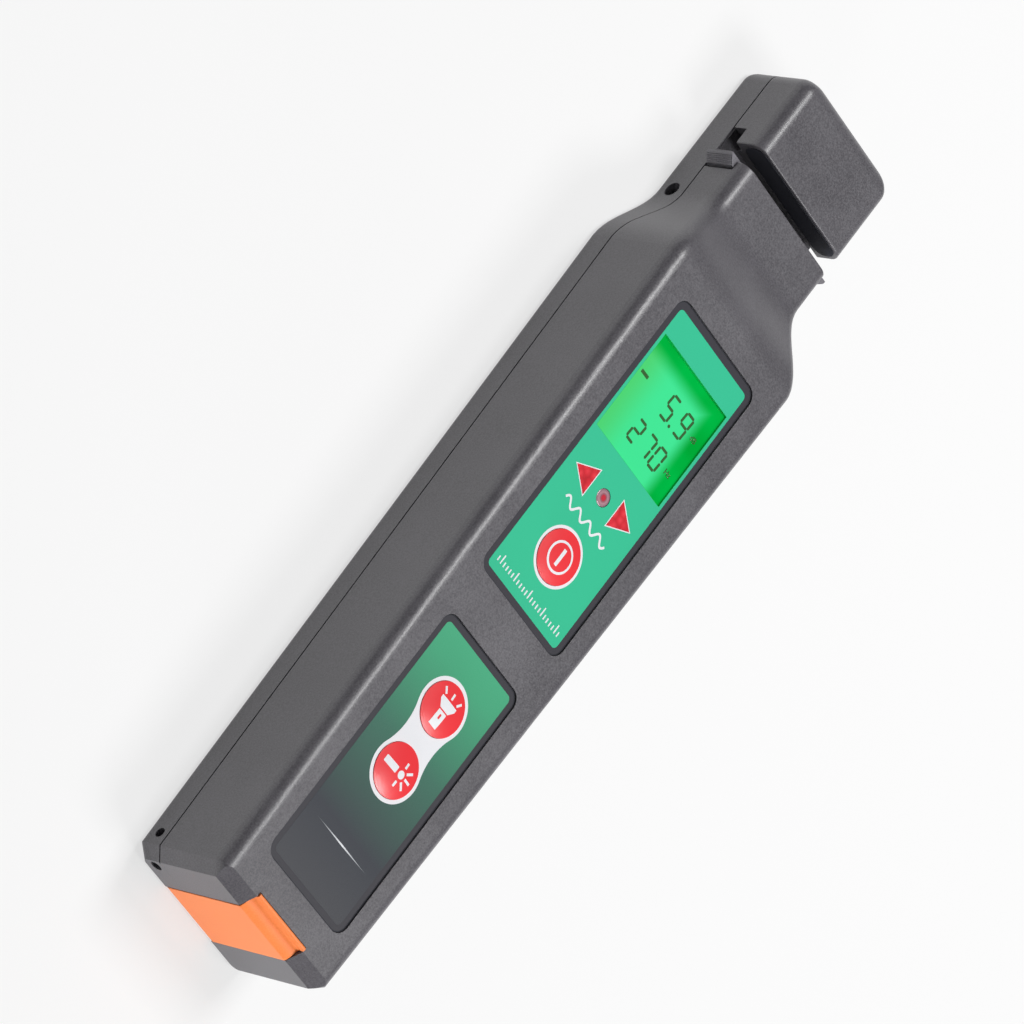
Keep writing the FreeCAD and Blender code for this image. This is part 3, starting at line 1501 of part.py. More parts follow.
def make_slide():
    trigger_half = f"({half('sz.well_width')} - sz.trigger_margin)"
    rib_low = "sz.trigger_inset"
    pad_low = "(sz.trigger_inset + sz.trigger_rib_height)"
    pad_top = "(sz.well_depth - sz.running_gap)"
    pad = plate(
        "trigger_pad",
        (minus(trigger_half), trigger_half),
        stretch(TRIGGER_START, f"({TRIGGER_START} + sz.trigger_length)"),
        (pad_low, pad_top),
        "(sz.well_corner - sz.trigger_margin)",
    )
    count = int(value("(sz.trigger_length - 2 * sz.well_corner) / sz.trigger_rib_pitch")) + 1
    middle = f"({TRIGGER_START} + sz.trigger_length / 2)"
    ribs = []
    for index in range(count):
        centre = f"({middle} + {index - (count - 1) / 2} * sz.trigger_rib_pitch)"
        ribs.append(
            block(
                f"trigger_rib_{index}",
                (minus(f"({trigger_half} - sz.trigger_margin)"), f"({trigger_half} - sz.trigger_margin)"),
                stretch(f"({centre} - sz.trigger_rib_width / 2)", f"({centre} + sz.trigger_rib_width / 2)"),
                (rib_low, f"({pad_low} + sz.trigger_rib_height / 2)"),
            )
        )
    stem = block(
        "trigger_stem",
        both_sides("sz.stem_width"),
        stretch(STEM_START, STEM_END),
        (pad_low, CARRIAGE_LOW),
    )
    pilot = rod(
        "trigger_pilot", RETAINER_HOLE, "z", "0", along(STEM_MIDDLE), "sz.well_depth", "(2 * sz.well_floor)"
    )
    node(cut("trigger", joined("trigger_blank", pad, stem, *ribs), pilot), "trigger")

    bar = block(
        "carriage_bar",
        both_sides("sz.carriage_width"),
        stretch(f"({STEM_START} - sz.wall)", f"({BLOCK_LOW} + sz.riser_thickness)"),
        (CARRIAGE_LOW, CARRIAGE_TOP),
    )
    tab = block(
        "carriage_tab",
        both_sides("(sz.spring_diameter + sz.wall)"),
        stretch(TAB_START, SPRING_START),
        (CARRIAGE_LOW, f"({CARRIAGE_TOP} + sz.spring_tab_height)"),
    )
    riser = block(
        "carriage_riser",
        both_sides("sz.riser_width"),
        stretch(BLOCK_LOW, f"({BLOCK_LOW} + sz.riser_thickness)"),
        (CARRIAGE_LOW, BLOCK_Z),
    )
    hole = rod("carriage_hole", RETAINER_HOLE, "z", "0", along(STEM_MIDDLE), "0", FRONT)
    node(cut("slide_carriage", joined("carriage_blank", bar, tab, riser), hole), "slide_carriage")
    fixing = screw(
        "trigger_screw",
        "sz.retainer_screw_diameter",
        "(sz.carriage_thickness + sz.trigger_screw_bite)",
        "0",
        along(STEM_MIDDLE),
        CARRIAGE_TOP,
        "-z",
    )
    node(fixing, "trigger_screw")

    plate_top = f"({RAIL_TOP} + sz.retainer_thickness)"
    retainer = block(
        "retainer_blank",
        both_sides(f"(2 * {RAIL_OUTER})"),
        stretch(RETAINER_START, RETAINER_END),
        (RAIL_TOP, plate_top),
    )
    spot = f"({RETAINER_START} + sz.retainer_length / 2)"
    sides = {"left": (minus(RETAINER_SCREW_X), spot), "right": (RETAINER_SCREW_X, spot)}
    holes = holes_at("retainer_hole", sides, RETAINER_HOLE, "0", FRONT)
    node(cut("carriage_retainer", retainer, *holes), "carriage_retainer")
    screws = [
        screw(
            f"retainer_screw_{side}",
            "sz.retainer_screw_diameter",
            f"({plate_top} - sz.well_depth - sz.wall / 2)",
            x,
            along(y),
            plate_top,
            "-z",
        )
        for side, (x, y) in sides.items()
    ]
    node(group("retainer_screws", screws), "retainer_screws")

    spring = coil(
        "return_spring",
        "sz.spring_diameter",
        "sz.spring_wire",
        "sz.spring_length",
        "sz.spring_turns",
        "0",
        along(SPRING_START),
        SPRING_Z,
        "y",
    )
    node(spring, "return_spring")
    make_guide()


def make_guide():
    """Block in the neck that the carriage runs through, held by a screw from each side."""
    guide_half = f"({half('sz.neck_width')} - sz.edge_round)"
    body = block(
        "guide_body",
        (minus(guide_half), guide_half),
        stretch(GUIDE_START, GUIDE_END),
        ("sz.rear_wall", "(sz.rear_wall + sz.guide_height)"),
    )
    tunnel = block(
        "guide_tunnel",
        both_sides("(sz.carriage_width + 2 * sz.running_gap)"),
        stretch(f"({GUIDE_START} - {PAST})", f"({GUIDE_END} + {PAST})"),
        (f"({CARRIAGE_LOW} - sz.running_gap)", RAIL_TOP),
    )
    place_y = along(SIDE_SCREW_PLACE)
    pilots = []
    screws = []
    for side, sign, axis in (("left", "-1", "x"), ("right", "1", "-x")):
        pilot_hole = "(sz.side_screw_diameter + 2 * sz.screw_clearance)"
        start = f"({sign} * sz.neck_width / 2)"
        reach = "(sz.edge_round + sz.side_screw_length + sz.seat_clearance)"
        spot = (start, place_y, "sz.side_screw_height")
        pilots.append(rod(f"{side}_guide_pilot", pilot_hole, axis, *spot, reach))
        screws.append(side_screw(f"{side}_side_screw", f"({sign} * {guide_half})", place_y, axis))
    node(cut("slide_guide", body, tunnel, *pilots), "slide_guide")
    node(group("side_screws", screws), "side_screws")


def side_screw(name, x, y, axis):
    """Slim screw whose head sits inside the neck's side hole."""
    head = half("(sz.side_hole_diameter - 2 * sz.seat_clearance)")
    shank = half("sz.side_screw_diameter")
    top = minus("sz.screw_head_height")
    length = "sz.side_screw_length"
    profile = [("0", top), (head, top), (head, "0"), (shank, "0"), (shank, length), ("0", length)]
    return turned(name, profile, x, y, "sz.side_screw_height", axis)


def make_clamp():
    step = f"({BLOCK_Z} + sz.block_step_height)"
    top = f"({BLOCK_ROOF} - sz.block_gap)"
    ledge = f"({BLOCK_TOP} - sz.block_ledge)"
    width = both_sides("(sz.neck_width + 2 * sz.lug_proud)")
    bar = prism(
        "press_bar",
        "YZ_Plane",
        [
            (along(BLOCK_LOW), BLOCK_Z),
            (along(BLOCK_TOP), BLOCK_Z),
            (along(BLOCK_TOP), step),
            (along(ledge), f"({step} + sz.block_ledge / 2)"),
            (along(ledge), top),
            (along(BLOCK_LOW), top),
        ],
        width,
    )
    root = f"({half('sz.neck_width')} - sz.lug_proud)"
    foot = f"({half('sz.neck_width')} + sz.lug_proud)"
    tip = f"({half('sz.neck_width')} + sz.lug_reach)"
    slope_end = f"({BLOCK_LOW} + sz.lug_reach - sz.lug_proud)"
    lug_end = f"({slope_end} + sz.lug_flat)"
    outline = [
        (root, BLOCK_LOW),
        (foot, BLOCK_LOW),
        (tip, slope_end),
        (tip, lug_end),
        (root, lug_end),
    ]
    lugs = []
    for side, sign in (("left", "-1"), ("right", "1")):
        corners = [(f"({sign} * {x})", along(spot)) for x, spot in outline]
        lugs.append(prism(f"{side}_lug", "XY_Plane", corners, (BLOCK_Z, top)))
    node(joined("press_block", bar, *lugs), "press_block")
    pad = block(
        "press_pad",
        both_sides("sz.pad_width"),
        stretch(BLOCK_TOP, f"({BLOCK_TOP} + sz.pad_rise)"),
        (f"({BLOCK_Z} + sz.block_gap)", f"({BLOCK_Z} + sz.block_gap + sz.pad_height)"),
    )
    node(pad, "press_pad")
    anvil_top = "(sz.neck_seam_height + sz.anvil_height)"
    nose_top = "(sz.neck_seam_height + sz.channel_depth - sz.block_gap)"
    anvil = joined(
        "anvil_body",
        block(
            "anvil_nose",
            both_sides("sz.anvil_width"),
            stretch(ANVIL_START, ANVIL_END),
            ("sz.neck_seam_height", nose_top),
        ),
        block(
            "anvil_back",
            both_sides("sz.anvil_width"),
            stretch(CHANNEL_ROOF, ANVIL_END),
            ("sz.neck_seam_height", anvil_top),
        ),
    )
    middle = f"((sz.neck_seam_height + {nose_top}) / 2)"
    start = f"({ANVIL_START} + sz.detector_wall)"
    sides = {"left": minus(half("sz.detector_spread")), "right": half("sz.detector_spread")}
    bore = "(sz.detector_diameter + 2 * sz.screw_clearance)"
    bores = [
        rod(f"{side}_detector_bore", bore, "y", x, along(start), middle, "(2 * sz.anvil_length)")
        for side, x in sides.items()
    ]
    node(cut("anvil_block", anvil, *bores), "anvil_block")
    detectors = [
        rod(f"{side}_detector", "sz.detector_diameter", "y", x, along(start), middle, "sz.detector_length")
        for side, x in sides.items()
    ]
    node(group("detectors", detectors), "detectors")
    board = block(
        "detector_board",
        both_sides("(sz.head_screw_spread - sz.screw_boss_diameter - 2 * sz.detector_board_gap)"),
        stretch(ANVIL_END, DETECTOR_BOARD_END),
        ("sz.neck_seam_height", anvil_top),
    )
    node(board, "detector_board")


node(make_front_shell(), "front_shell")
node(make_rear_shell(), "rear_shell")
node(make_head_cover(), "head_cover")
make_overlays()
make_keys_and_switches()
make_display()
make_signal_lights()
make_main_board()
make_case_screws()
make_battery()
make_flap()
make_ports()
make_slide()
make_clamp()
doc.recompute()

failed = [item.Name for item in doc.Objects if "Invalid" in item.State or "Error" in item.State]
if failed:
    raise RuntimeError(f"objects that failed: {failed}")
for solid in nodes:
    if solid.Shape.isNull() or not solid.Shape.isValid() or not solid.Shape.Solids:
        raise RuntimeError(f"{solid.Label}: no valid solid")

os.makedirs("parts", exist_ok=True)
for solid in nodes:
    solid.Shape.exportStep(f"parts/{solid.Label}.step")
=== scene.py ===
import math

import bmesh
import bpy
from mathutils import Matrix, Vector
from mathutils.bvhtree import BVHTree


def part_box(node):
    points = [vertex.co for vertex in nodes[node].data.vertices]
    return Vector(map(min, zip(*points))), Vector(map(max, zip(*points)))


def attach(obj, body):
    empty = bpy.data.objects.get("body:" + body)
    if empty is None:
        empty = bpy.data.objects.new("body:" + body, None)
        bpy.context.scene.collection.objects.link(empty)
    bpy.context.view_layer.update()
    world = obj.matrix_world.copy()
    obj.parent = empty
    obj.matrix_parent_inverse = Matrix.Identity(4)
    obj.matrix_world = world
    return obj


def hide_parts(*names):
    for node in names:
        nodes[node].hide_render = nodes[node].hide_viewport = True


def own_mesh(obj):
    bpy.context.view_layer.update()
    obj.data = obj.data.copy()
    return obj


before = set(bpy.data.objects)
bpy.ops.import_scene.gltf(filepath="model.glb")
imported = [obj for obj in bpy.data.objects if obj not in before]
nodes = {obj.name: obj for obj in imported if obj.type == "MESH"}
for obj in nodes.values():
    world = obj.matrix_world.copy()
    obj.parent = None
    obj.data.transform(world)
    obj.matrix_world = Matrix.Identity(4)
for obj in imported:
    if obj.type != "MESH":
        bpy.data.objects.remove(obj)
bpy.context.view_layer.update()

# Sizes in millimetres, with y measured along the case from its lower end
MM = 0.001
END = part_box("rear_shell")[0].y / MM
PRINT = 0.02
RECESS_SHADOW_WIDTH = 0.22
KEY_HOLE = 5.56
SIGNAL_HOLE = 1.86
OVERLAY_CORNER = 2.7
FIELD_CORNER = 1.1

# Heights of the faces that carry print, in metres
UPPER_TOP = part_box("upper_overlay")[1].z
LOWER_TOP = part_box("lower_overlay")[1].z
GLASS_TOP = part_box("display_glass")[1].z


def along_case(y):
    """Place along the case, in metres of the frame."""
    return (END + y) * MM


def extent(node):
    """Left, lower, right and upper edge of a CAD node, seen from the front."""
    low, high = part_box(node)
    return low.x / MM, low.y / MM - END, high.x / MM, high.y / MM - END


def centre_of(node):
    """Middle of a CAD node, seen from the front."""
    left, lower, right, upper = extent(node)
    return (left + right) / 2, (lower + upper) / 2


POWER = centre_of("power_key")
TORCH = centre_of("torch_key")
LASER = centre_of("laser_key")
SIGNAL = centre_of("signal_light")
DISPLAY = centre_of("display_glass")


# Node materials
def srgb(red, green, blue):
    """Linear colour of an 8-bit display colour."""

    def linear(level):
        share = level / 255
        return share / 12.92 if share <= 0.04045 else ((share + 0.055) / 1.055) ** 2.4

    return linear(red), linear(green), linear(blue), 1.0


def shaded(colour, share):
    """Colour at a share of its brightness."""
    return tuple(level * share for level in colour[:3]) + (1.0,)


def set_inputs(node, **values):
    """Sets inputs of a node, named with _ for each space."""
    for key, level in values.items():
        node.inputs[key.replace("_", " ")].default_value = level


WHITE = (1.0, 1.0, 1.0, 1.0)
BLACK = (0.0, 0.0, 0.0, 1.0)
NOISE_LOW = 0.3
NOISE_HIGH = 0.7


class Paint:
    """A node material, put together step by step."""

    def __init__(self, name, **values):
        self.material = bpy.data.materials.new(name)
        self.material.use_nodes = True
        self.tree = self.material.node_tree
        self.shader = self.tree.nodes["Principled BSDF"]
        set_inputs(self.shader, **values)

    def add(self, kind, **settings):
        """Adds a node with some of its settings."""
        node = self.tree.nodes.new(kind)
        for key, level in settings.items():
            setattr(node, key, level)
        return node

    def join(self, source, target):
        """Links an output to an input, or sets the input where the source is a plain value."""
        if isinstance(source, bpy.types.NodeSocket):
            self.tree.links.new(source, target)
        else:
            target.default_value = source

    def feed(self, name, source):
        """Joins a source to an input of the shader."""
        self.join(source, self.shader.inputs[name])

    def place(self):
        """Coordinates in the frame, in metres."""
        return self.add("ShaderNodeTexCoord").outputs["Object"]

    def axis(self, letter):
        """Coordinate along one axis of the frame, in metres."""
        node = self.add("ShaderNodeSeparateXYZ")
        self.join(self.place(), node.inputs["Vector"])
        return node.outputs[letter]

    def sums(self, operation, first, second=0.0):
        """Result of a plain operation on one or two values."""
        node = self.add("ShaderNodeMath", operation=operation)
        self.join(first, node.inputs[0])
        self.join(second, node.inputs[1])
        return node.outputs[0]

    def span(self, source, low, high, start=0.0, end=1.0, ease="LINEAR"):
        """Maps a stretch of a value to another, held at its ends."""
        node = self.add("ShaderNodeMapRange", interpolation_type=ease)
        set_inputs(node, From_Min=low, From_Max=high, To_Min=start, To_Max=end)
        self.join(source, node.inputs["Value"])
        return node.outputs["Result"]

    def stretched(self, scale):
        """Coordinates scaled along each axis."""
        node = self.add("ShaderNodeMapping")
        set_inputs(node, Scale=scale)
        self.join(self.place(), node.inputs["Vector"])
        return node.outputs["Vector"]

    def noise(self, scale, detail=2.0, rough=0.5, stretch=None):
        """Soft noise, finer for a larger scale and drawn out by a stretch."""
        node = self.add("ShaderNodeTexNoise")
        set_inputs(node, Scale=scale, Detail=detail, Roughness=rough)
        self.join(self.stretched(stretch) if stretch else self.place(), node.inputs["Vector"])
        return node.outputs["Fac"]

    def cells(self, scale):
        """Distance from the nearest of many scattered points."""
        node = self.add("ShaderNodeTexVoronoi")
        set_inputs(node, Scale=scale)
        self.join(self.place(), node.inputs["Vector"])
        return node.outputs["Distance"]

    def mix(self, share, first, second):
        """Colour between two others, by the node's sockets for colours."""
        node = self.add("ShaderNodeMix", data_type="RGBA")
        for source, socket in ((share, 0), (first, 6), (second, 7)):
            self.join(source, node.inputs[socket])
        return node.outputs[2]

    def blend(self, share, first, second):
        """Shader between two others."""
        node = self.add("ShaderNodeMixShader")
        for source, target in zip((share, first, second), node.inputs):
            self.join(source, target)
        return node.outputs[0]

    def ramp(self, share, *stops, steps="LINEAR"):
        """Colour by a row of stops, each a share and a colour."""
        node = self.add("ShaderNodeValToRGB")
        self.join(share, node.inputs[0])
        row = node.color_ramp
        row.interpolation = steps
        while len(row.elements) < len(stops):
            row.elements.new(0.5)
        for element, (spot, colour) in zip(row.elements, stops):
            element.position = spot
            element.color = colour
        return node.outputs["Color"]

    def shades(self, grain, dark, pale):
        """Colour between two shades, over the usual range of a noise."""
        return self.ramp(grain, (NOISE_LOW, dark), (NOISE_HIGH, pale))

    def roughen(self, grain, low, high):
        """Feeds a roughness between two levels, over the usual range of a noise."""
        self.feed("Roughness", self.span(grain, NOISE_LOW, NOISE_HIGH, low, high))

    def relief(self, height, depth, edge=None):
        """Feeds a fine relief of a depth in metres, over edges softened by a radius in metres."""
        node = self.add("ShaderNodeBump")
        set_inputs(node, Distance=depth)
        self.join(height, node.inputs["Height"])
        if edge:
            soft = self.add("ShaderNodeBevel", samples=4)
            set_inputs(soft, Radius=edge)
            self.join(soft.outputs["Normal"], node.inputs["Normal"])
        self.feed("Normal", node.outputs["Normal"])


# Kinds of material
MOULDED_EDGE = 0.15 * MM
METAL_EDGE = 0.08 * MM
FILM_GRAIN = 7000


def moulded(name, dark, pale, roughness=(0.46, 0.6), grain=3000, depth=1.2e-5, **values):
    """Moulded plastic or rubber with a fine spark-eroded grain and faint handling marks."""
    paint = Paint(name, **values)
    fine = paint.noise(grain, detail=3, rough=0.65)
    marks = paint.span(paint.noise(60, detail=3), 0.0, 1.0, -0.175, 0.175)
    tone = paint.sums("ADD", marks, fine)
    paint.feed("Base Color", paint.ramp(tone, (0.32, dark), (0.68, pale)))
    paint.roughen(tone, *roughness)
    paint.relief(fine, depth, edge=MOULDED_EDGE)
    return paint


def gloss(name, colour):
    """Smooth plastic under a clear layer, with a faint unevenness."""
    paint = Paint(name, Coat_Weight=1.0, Coat_Roughness=0.17)
    wave = paint.noise(260)
    low, high = 0.1, 0.9
    paint.feed("Base Color", paint.ramp(wave, (low, shaded(colour, 0.97)), (high, colour)))
    paint.feed("Roughness", paint.span(wave, low, high, 0.27, 0.33))
    paint.relief(wave, 1.5e-6)
    return paint


def metal(name, dark, pale, stretch):
    """Plain turned, drawn or rolled metal with fine tool marks."""
    paint = Paint(name, Metallic=1.0)
    marks = paint.noise(1500, detail=4, rough=0.65, stretch=stretch)
    paint.feed("Base Color", paint.shades(marks, dark, pale))
    paint.roughen(marks, 0.22, 0.42)
    paint.relief(marks, 4e-6, edge=METAL_EDGE)
    return paint


def satin(name, roughness=0.34):
    """Polyester film without its colour, and its grain."""
    paint = Paint(name, Coat_Weight=0.35, Coat_Roughness=0.18)
    grain = paint.noise(FILM_GRAIN)
    paint.roughen(grain, roughness - 0.04, roughness + 0.04)
    paint.relief(grain, 2e-6)
    return paint, grain


def film(name, colour, **finish):
    """Satin film of one colour."""
    paint, grain = satin(name, **finish)
    paint.feed("Base Color", paint.shades(grain, shaded(colour, 0.94), colour))
    return paint


def faded_film(name):
    """Satin film that runs from dark grey at its lower end to green at its upper end."""
    paint, grain = satin(name)
    share = paint.span(paint.axis("Y"), along_case(10.0), along_case(70.3))
    colour = paint.ramp(
        share,
        (0.0, srgb(66, 65, 71)),
        (0.25, srgb(48, 50, 60)),
        (0.58, srgb(54, 112, 92)),
        (0.88, srgb(62, 170, 124)),
        (1.0, srgb(66, 178, 130)),
    )
    specks = paint.shades(grain, srgb(46, 50, 54), srgb(150, 165, 165))
    paint.feed("Base Color", paint.mix(0.08, colour, specks))
    return paint


def lit_display(name):
    """Backlit display: pale green in the middle, with painted shade of its recess as a deeper green
    towards its upper and right edges.
    """
    paint = Paint(name, Coat_Weight=0.05, Coat_Roughness=0.05, Roughness=0.5, Specular_IOR_Level=0.0)
    middle_y = along_case(DISPLAY[1])
    # Painted shade: deeper green towards the upper and right edges, where the recess walls shade the
    # display
    shade_to_right = paint.span(paint.axis("X"), 5.4 * MM, 9.6 * MM, ease="SMOOTHSTEP")
    shade_to_top = paint.span(paint.axis("Y"), middle_y + 6.2 * MM, middle_y + 10.4 * MM, ease="SMOOTHSTEP")
    from_left = paint.span(paint.axis("X"), -12 * MM, -3 * MM, ease="SMOOTHSTEP")
    middle = paint.mix(from_left, srgb(84, 222, 122), srgb(72, 242, 158))
    recess_shade = paint.shades(paint.noise(120, detail=1), srgb(0, 176, 58), srgb(0, 194, 74))
    colour = paint.mix(paint.sums("MAXIMUM", shade_to_right, shade_to_top), middle, recess_shade)
    paint.feed("Base Color", paint.mix(0.6, colour, BLACK))
    paint.feed("Emission Color", colour)
    paint.feed("Emission Strength", 0.5)
    return paint


def signal_lens(name):
    """Small round light: a smoky ring with a red chip in its middle."""
    paint = Paint(name, Coat_Weight=1.0, Coat_Roughness=0.05, Roughness=0.25)
    across = paint.sums("SUBTRACT", paint.axis("X"), SIGNAL[0] * MM)
    along = paint.sums("SUBTRACT", paint.axis("Y"), along_case(SIGNAL[1]))
    squares = [paint.sums("MULTIPLY", off, off) for off in (across, along)]
    distance = paint.sums("SQRT", paint.sums("ADD", *squares))
    colour = paint.ramp(
        paint.span(distance, 0.0, 1.8 * MM),
        (0.0, srgb(214, 44, 60)),
        (0.3, srgb(196, 50, 68)),
        (0.42, srgb(150, 98, 110)),
        (0.62, srgb(186, 138, 148)),
        (0.8, srgb(160, 122, 132)),
        (1.0, srgb(140, 112, 120)),
    )
    paint.feed("Base Color", colour)
    paint.relief(paint.noise(900), 1e-5)
    return paint


def arrow_lens(name):
    """Red window of the arrows with a faceted light guide seen through it."""
    paint = Paint(name, Coat_Weight=1.0, Coat_Roughness=0.08, Roughness=0.3)
    facets = paint.cells(700)
    reds = ((0.1, srgb(240, 60, 72)), (0.5, srgb(222, 40, 54)), (0.9, srgb(196, 28, 42)))
    paint.feed("Base Color", paint.ramp(facets, *reds))
    paint.relief(facets, 6e-5)
    return paint


def circuit(name):
    """Green solder mask with copper tracks under it and bare tinned pads."""
    paint = Paint(name, Coat_Weight=0.4, Coat_Roughness=0.2)
    tracks = paint.add("ShaderNodeTexBrick", offset=0.37, squash=0.6, squash_frequency=3)
    set_inputs(tracks, Scale=260, Mortar_Size=0.06, Mortar_Smooth=0.2)
    paint.join(paint.place(), tracks.inputs["Vector"])
    mask = paint.mix(tracks.outputs["Fac"], srgb(24, 92, 52), srgb(46, 128, 76))
    pads = paint.span(paint.cells(330), 0.1, 0.13, 1.0, 0.0)
    paint.feed("Base Color", paint.mix(pads, mask, srgb(196, 196, 188)))
    paint.feed("Metallic", pads)
    paint.roughen(paint.noise(900), 0.28, 0.42)
    paint.relief(tracks.outputs["Fac"], 2e-5)
    return paint


def cell_wrap(name):
    """Shrink sleeve of a dry cell, with bare metal at both ends and a bright band near the button."""
    paint = Paint(name, Coat_Weight=0.5, Coat_Roughness=0.15)
    low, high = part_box("battery_cells")
    share = paint.span(paint.axis("Y"), low.y, high.y)
    sleeve_start, sleeve_end = 0.03, 0.97
    steel = srgb(190, 190, 186)
    colour = paint.ramp(
        share,
        (0.0, steel),
        (sleeve_start, srgb(52, 54, 58)),
        (0.7, srgb(60, 62, 66)),
        (0.72, srgb(190, 150, 70)),
        (0.95, srgb(196, 156, 76)),
        (sleeve_end, steel),
        steps="CONSTANT",
    )
    bare = paint.ramp(share, (0.0, WHITE), (sleeve_start, BLACK), (sleeve_end, WHITE), steps="CONSTANT")
    paint.feed("Base Color", colour)
    paint.feed("Metallic", bare)
    paint.roughen(paint.noise(1200), 0.25, 0.4)
    paint.relief(paint.noise(2400), 4e-6)
    return paint


def clear_lens(name):
    """Water-clear moulded lens."""
    paint = Paint(name, Transmission_Weight=0.85, IOR=1.5)
    flow = paint.noise(500)
    paint.feed("Base Color", paint.shades(flow, srgb(228, 234, 238), srgb(246, 248, 250)))
    paint.roughen(flow, 0.04, 0.12)
    paint.relief(flow, 4e-6)
    return paint


def fading_line(name, middle, reach):
    """White line across the case that thins out to the film's grey at both ends."""
    paint = Paint(name, Roughness=0.4)
    off = paint.sums("ABSOLUTE", paint.sums("SUBTRACT", paint.axis("X"), middle * MM))
    greys = ((0.0, srgb(232, 234, 238)), (0.35, srgb(196, 200, 204)), (1.0, srgb(84, 90, 94)))
    paint.feed("Base Color", paint.ramp(paint.span(off, 0.0, reach * MM), *greys))
    paint.relief(paint.noise(FILM_GRAIN), 2e-6)
    return paint


# Materials of the CAD nodes, by slot, and of the pieces added below
shell = moulded(
    "shell_plastic",
    srgb(74, 72, 77),
    srgb(104, 102, 107),
    roughness=(0.32, 0.44),
    depth=2.6e-5,
    Specular_IOR_Level=0.85,
)
grip = moulded(
    "grip_rubber", srgb(38, 38, 40), srgb(54, 54, 56), roughness=(0.6, 0.75), grain=3200, depth=1.6e-5
)
# Painted light: the slide's grey is lighter than the shell's, to make up for the lamps' light that the
# shaded lugs lack
slide = moulded("slide_plastic_lightened", srgb(108, 106, 112), srgb(128, 126, 132), roughness=(0.42, 0.56))
flap_orange = moulded(
    "flap_orange", srgb(246, 132, 68), srgb(255, 146, 82), roughness=(0.4, 0.52), grain=3800, depth=7e-6
)
# Painted shade: black film for the recess shadows and for the shaded upper wall of the slot
painted_shade_black = moulded(
    "painted_shade_black", srgb(30, 32, 40), srgb(44, 46, 56), roughness=(0.6, 0.75), grain=2600
)
pad_rubber = moulded(
    "pad_rubber", srgb(52, 50, 50), srgb(70, 68, 68), roughness=(0.65, 0.8), grain=2200, depth=2e-5
)
steel = metal("bright_steel", srgb(150, 150, 152), srgb(196, 196, 198), stretch=(1, 1, 0.1))
brass = metal("turned_brass", srgb(176, 138, 72), srgb(214, 178, 108), stretch=(1, 0.1, 1))
border = film("border_film", srgb(57, 56, 63), roughness=0.36)
lower_film = faded_film("lower_film")
green_film = film("green_film", srgb(50, 199, 152))
# Painted reflection: bright green for the window's wall, standing for the backlight seen in the edge of
# the glass
window_reflection_green = film("window_reflection_green", srgb(18, 186, 96))
white_ink = film("white_ink", srgb(240, 241, 245), roughness=0.42)
display_ink = film("display_ink", srgb(52, 98, 48), roughness=0.3)
paints = {
    "shell": shell,
    "grip": grip,
    "upper_face": border,
    "lower_face": border,
    "key": gloss("key_red", srgb(246, 52, 60)),
    "flap": flap_orange,
    "display": lit_display("lit_display"),
    "backlight": film("backlight_sheet", srgb(214, 240, 222)),
    "arrow": arrow_lens("arrow_lens"),
    "lamp": clear_lens("clear_lens"),
    "slide": slide,
    "switch": moulded("switch_plastic", srgb(30, 30, 32), srgb(46, 46, 48), grain=2600),
    "holder": moulded("holder_plastic", srgb(214, 214, 210), srgb(232, 232, 228), grain=2600),
    "pad": pad_rubber,
    "board": circuit("circuit_board"),
    "chip": moulded("chip_epoxy", srgb(36, 34, 40), srgb(54, 50, 58), roughness=(0.3, 0.45)),
    "steel": steel,
    "cell": cell_wrap("cell_wrap"),
    "brass": brass,
}
for node in nodes.values():
    node.data.materials[0] = paints[node.data.materials[0].name].material


# Flat outlines, as lists of points in millimetres
def circle(x, y, radius, count=72):
    """Closed ring of points."""
    turns = [2 * math.pi * step / count for step in range(count)]
    return [(x + radius * math.cos(turn), y + radius * math.sin(turn)) for turn in turns]


def arc(x, y, radius, start, end, count=24):
    """Points on an arc between two angles in degrees."""
    turns = [math.radians(start + (end - start) * step / count) for step in range(count + 1)]
    return [(x + radius * math.cos(turn), y + radius * math.sin(turn)) for turn in turns]


def rounded(left, lower, right, upper, radius):
    """Rectangle with rounded corners."""
    loop = []
    corners = ((right, upper, -1, -1), (left, upper, 1, -1), (left, lower, 1, 1), (right, lower, -1, 1))
    for quarter, (x, y, inward_x, inward_y) in enumerate(corners):
        start = 90 * quarter
        loop += arc(x + inward_x * radius, y + inward_y * radius, radius, start, start + 90, 10)
    return loop


def stroke(points, width):
    """Band of even width along a run of points, with flat ends."""
    left, right = [], []
    for index, (x, y) in enumerate(points):
        before = points[max(index - 1, 0)]
        after = points[min(index + 1, len(points) - 1)]
        run = Vector((after[0] - before[0], after[1] - before[1])).normalized()
        left.append((x - run.y * width / 2, y + run.x * width / 2))
        right.append((x + run.y * width / 2, y - run.x * width / 2))
    return left + right[::-1]


def shifted(loop, x, y):
    """Outline moved to a place."""
    return [(x + across, y + along) for across, along in loop]


# Making of pieces
WELD = 1e-4
SPLIT_ROUNDS = 7


def piece(name, shape, paint, body):
    """Makes a named piece from a bmesh in metres and hangs it on a body."""
    mesh = bpy.data.meshes.new(name)
    bmesh.ops.recalc_face_normals(shape, faces=shape.faces[:])
    shape.to_mesh(mesh)
    shape.free()
    mesh.materials.append(paint.material)
    made = bpy.data.objects.new(name, mesh)
    bpy.context.scene.collection.objects.link(made)
    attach(made, body)
    return made


def smoothed(made, sides=None):
    """Shades a piece smoothly, or only its faces with a number of sides."""
    for face in made.data.polygons:
        face.use_smooth = sides in (None, len(face.vertices))


def meshed(curve):
    """Flat bmesh of a filled curve or text, which is used up."""
    holder = bpy.data.objects.new(curve.name, curve)
    mesh = bpy.data.meshes.new_from_object(holder)
    shape = bmesh.new()
    shape.from_mesh(mesh)
    bpy.data.objects.remove(holder)
    bpy.data.curves.remove(curve)
    bpy.data.meshes.remove(mesh)
    bmesh.ops.remove_doubles(shape, verts=shape.verts[:], dist=WELD)
    return shape


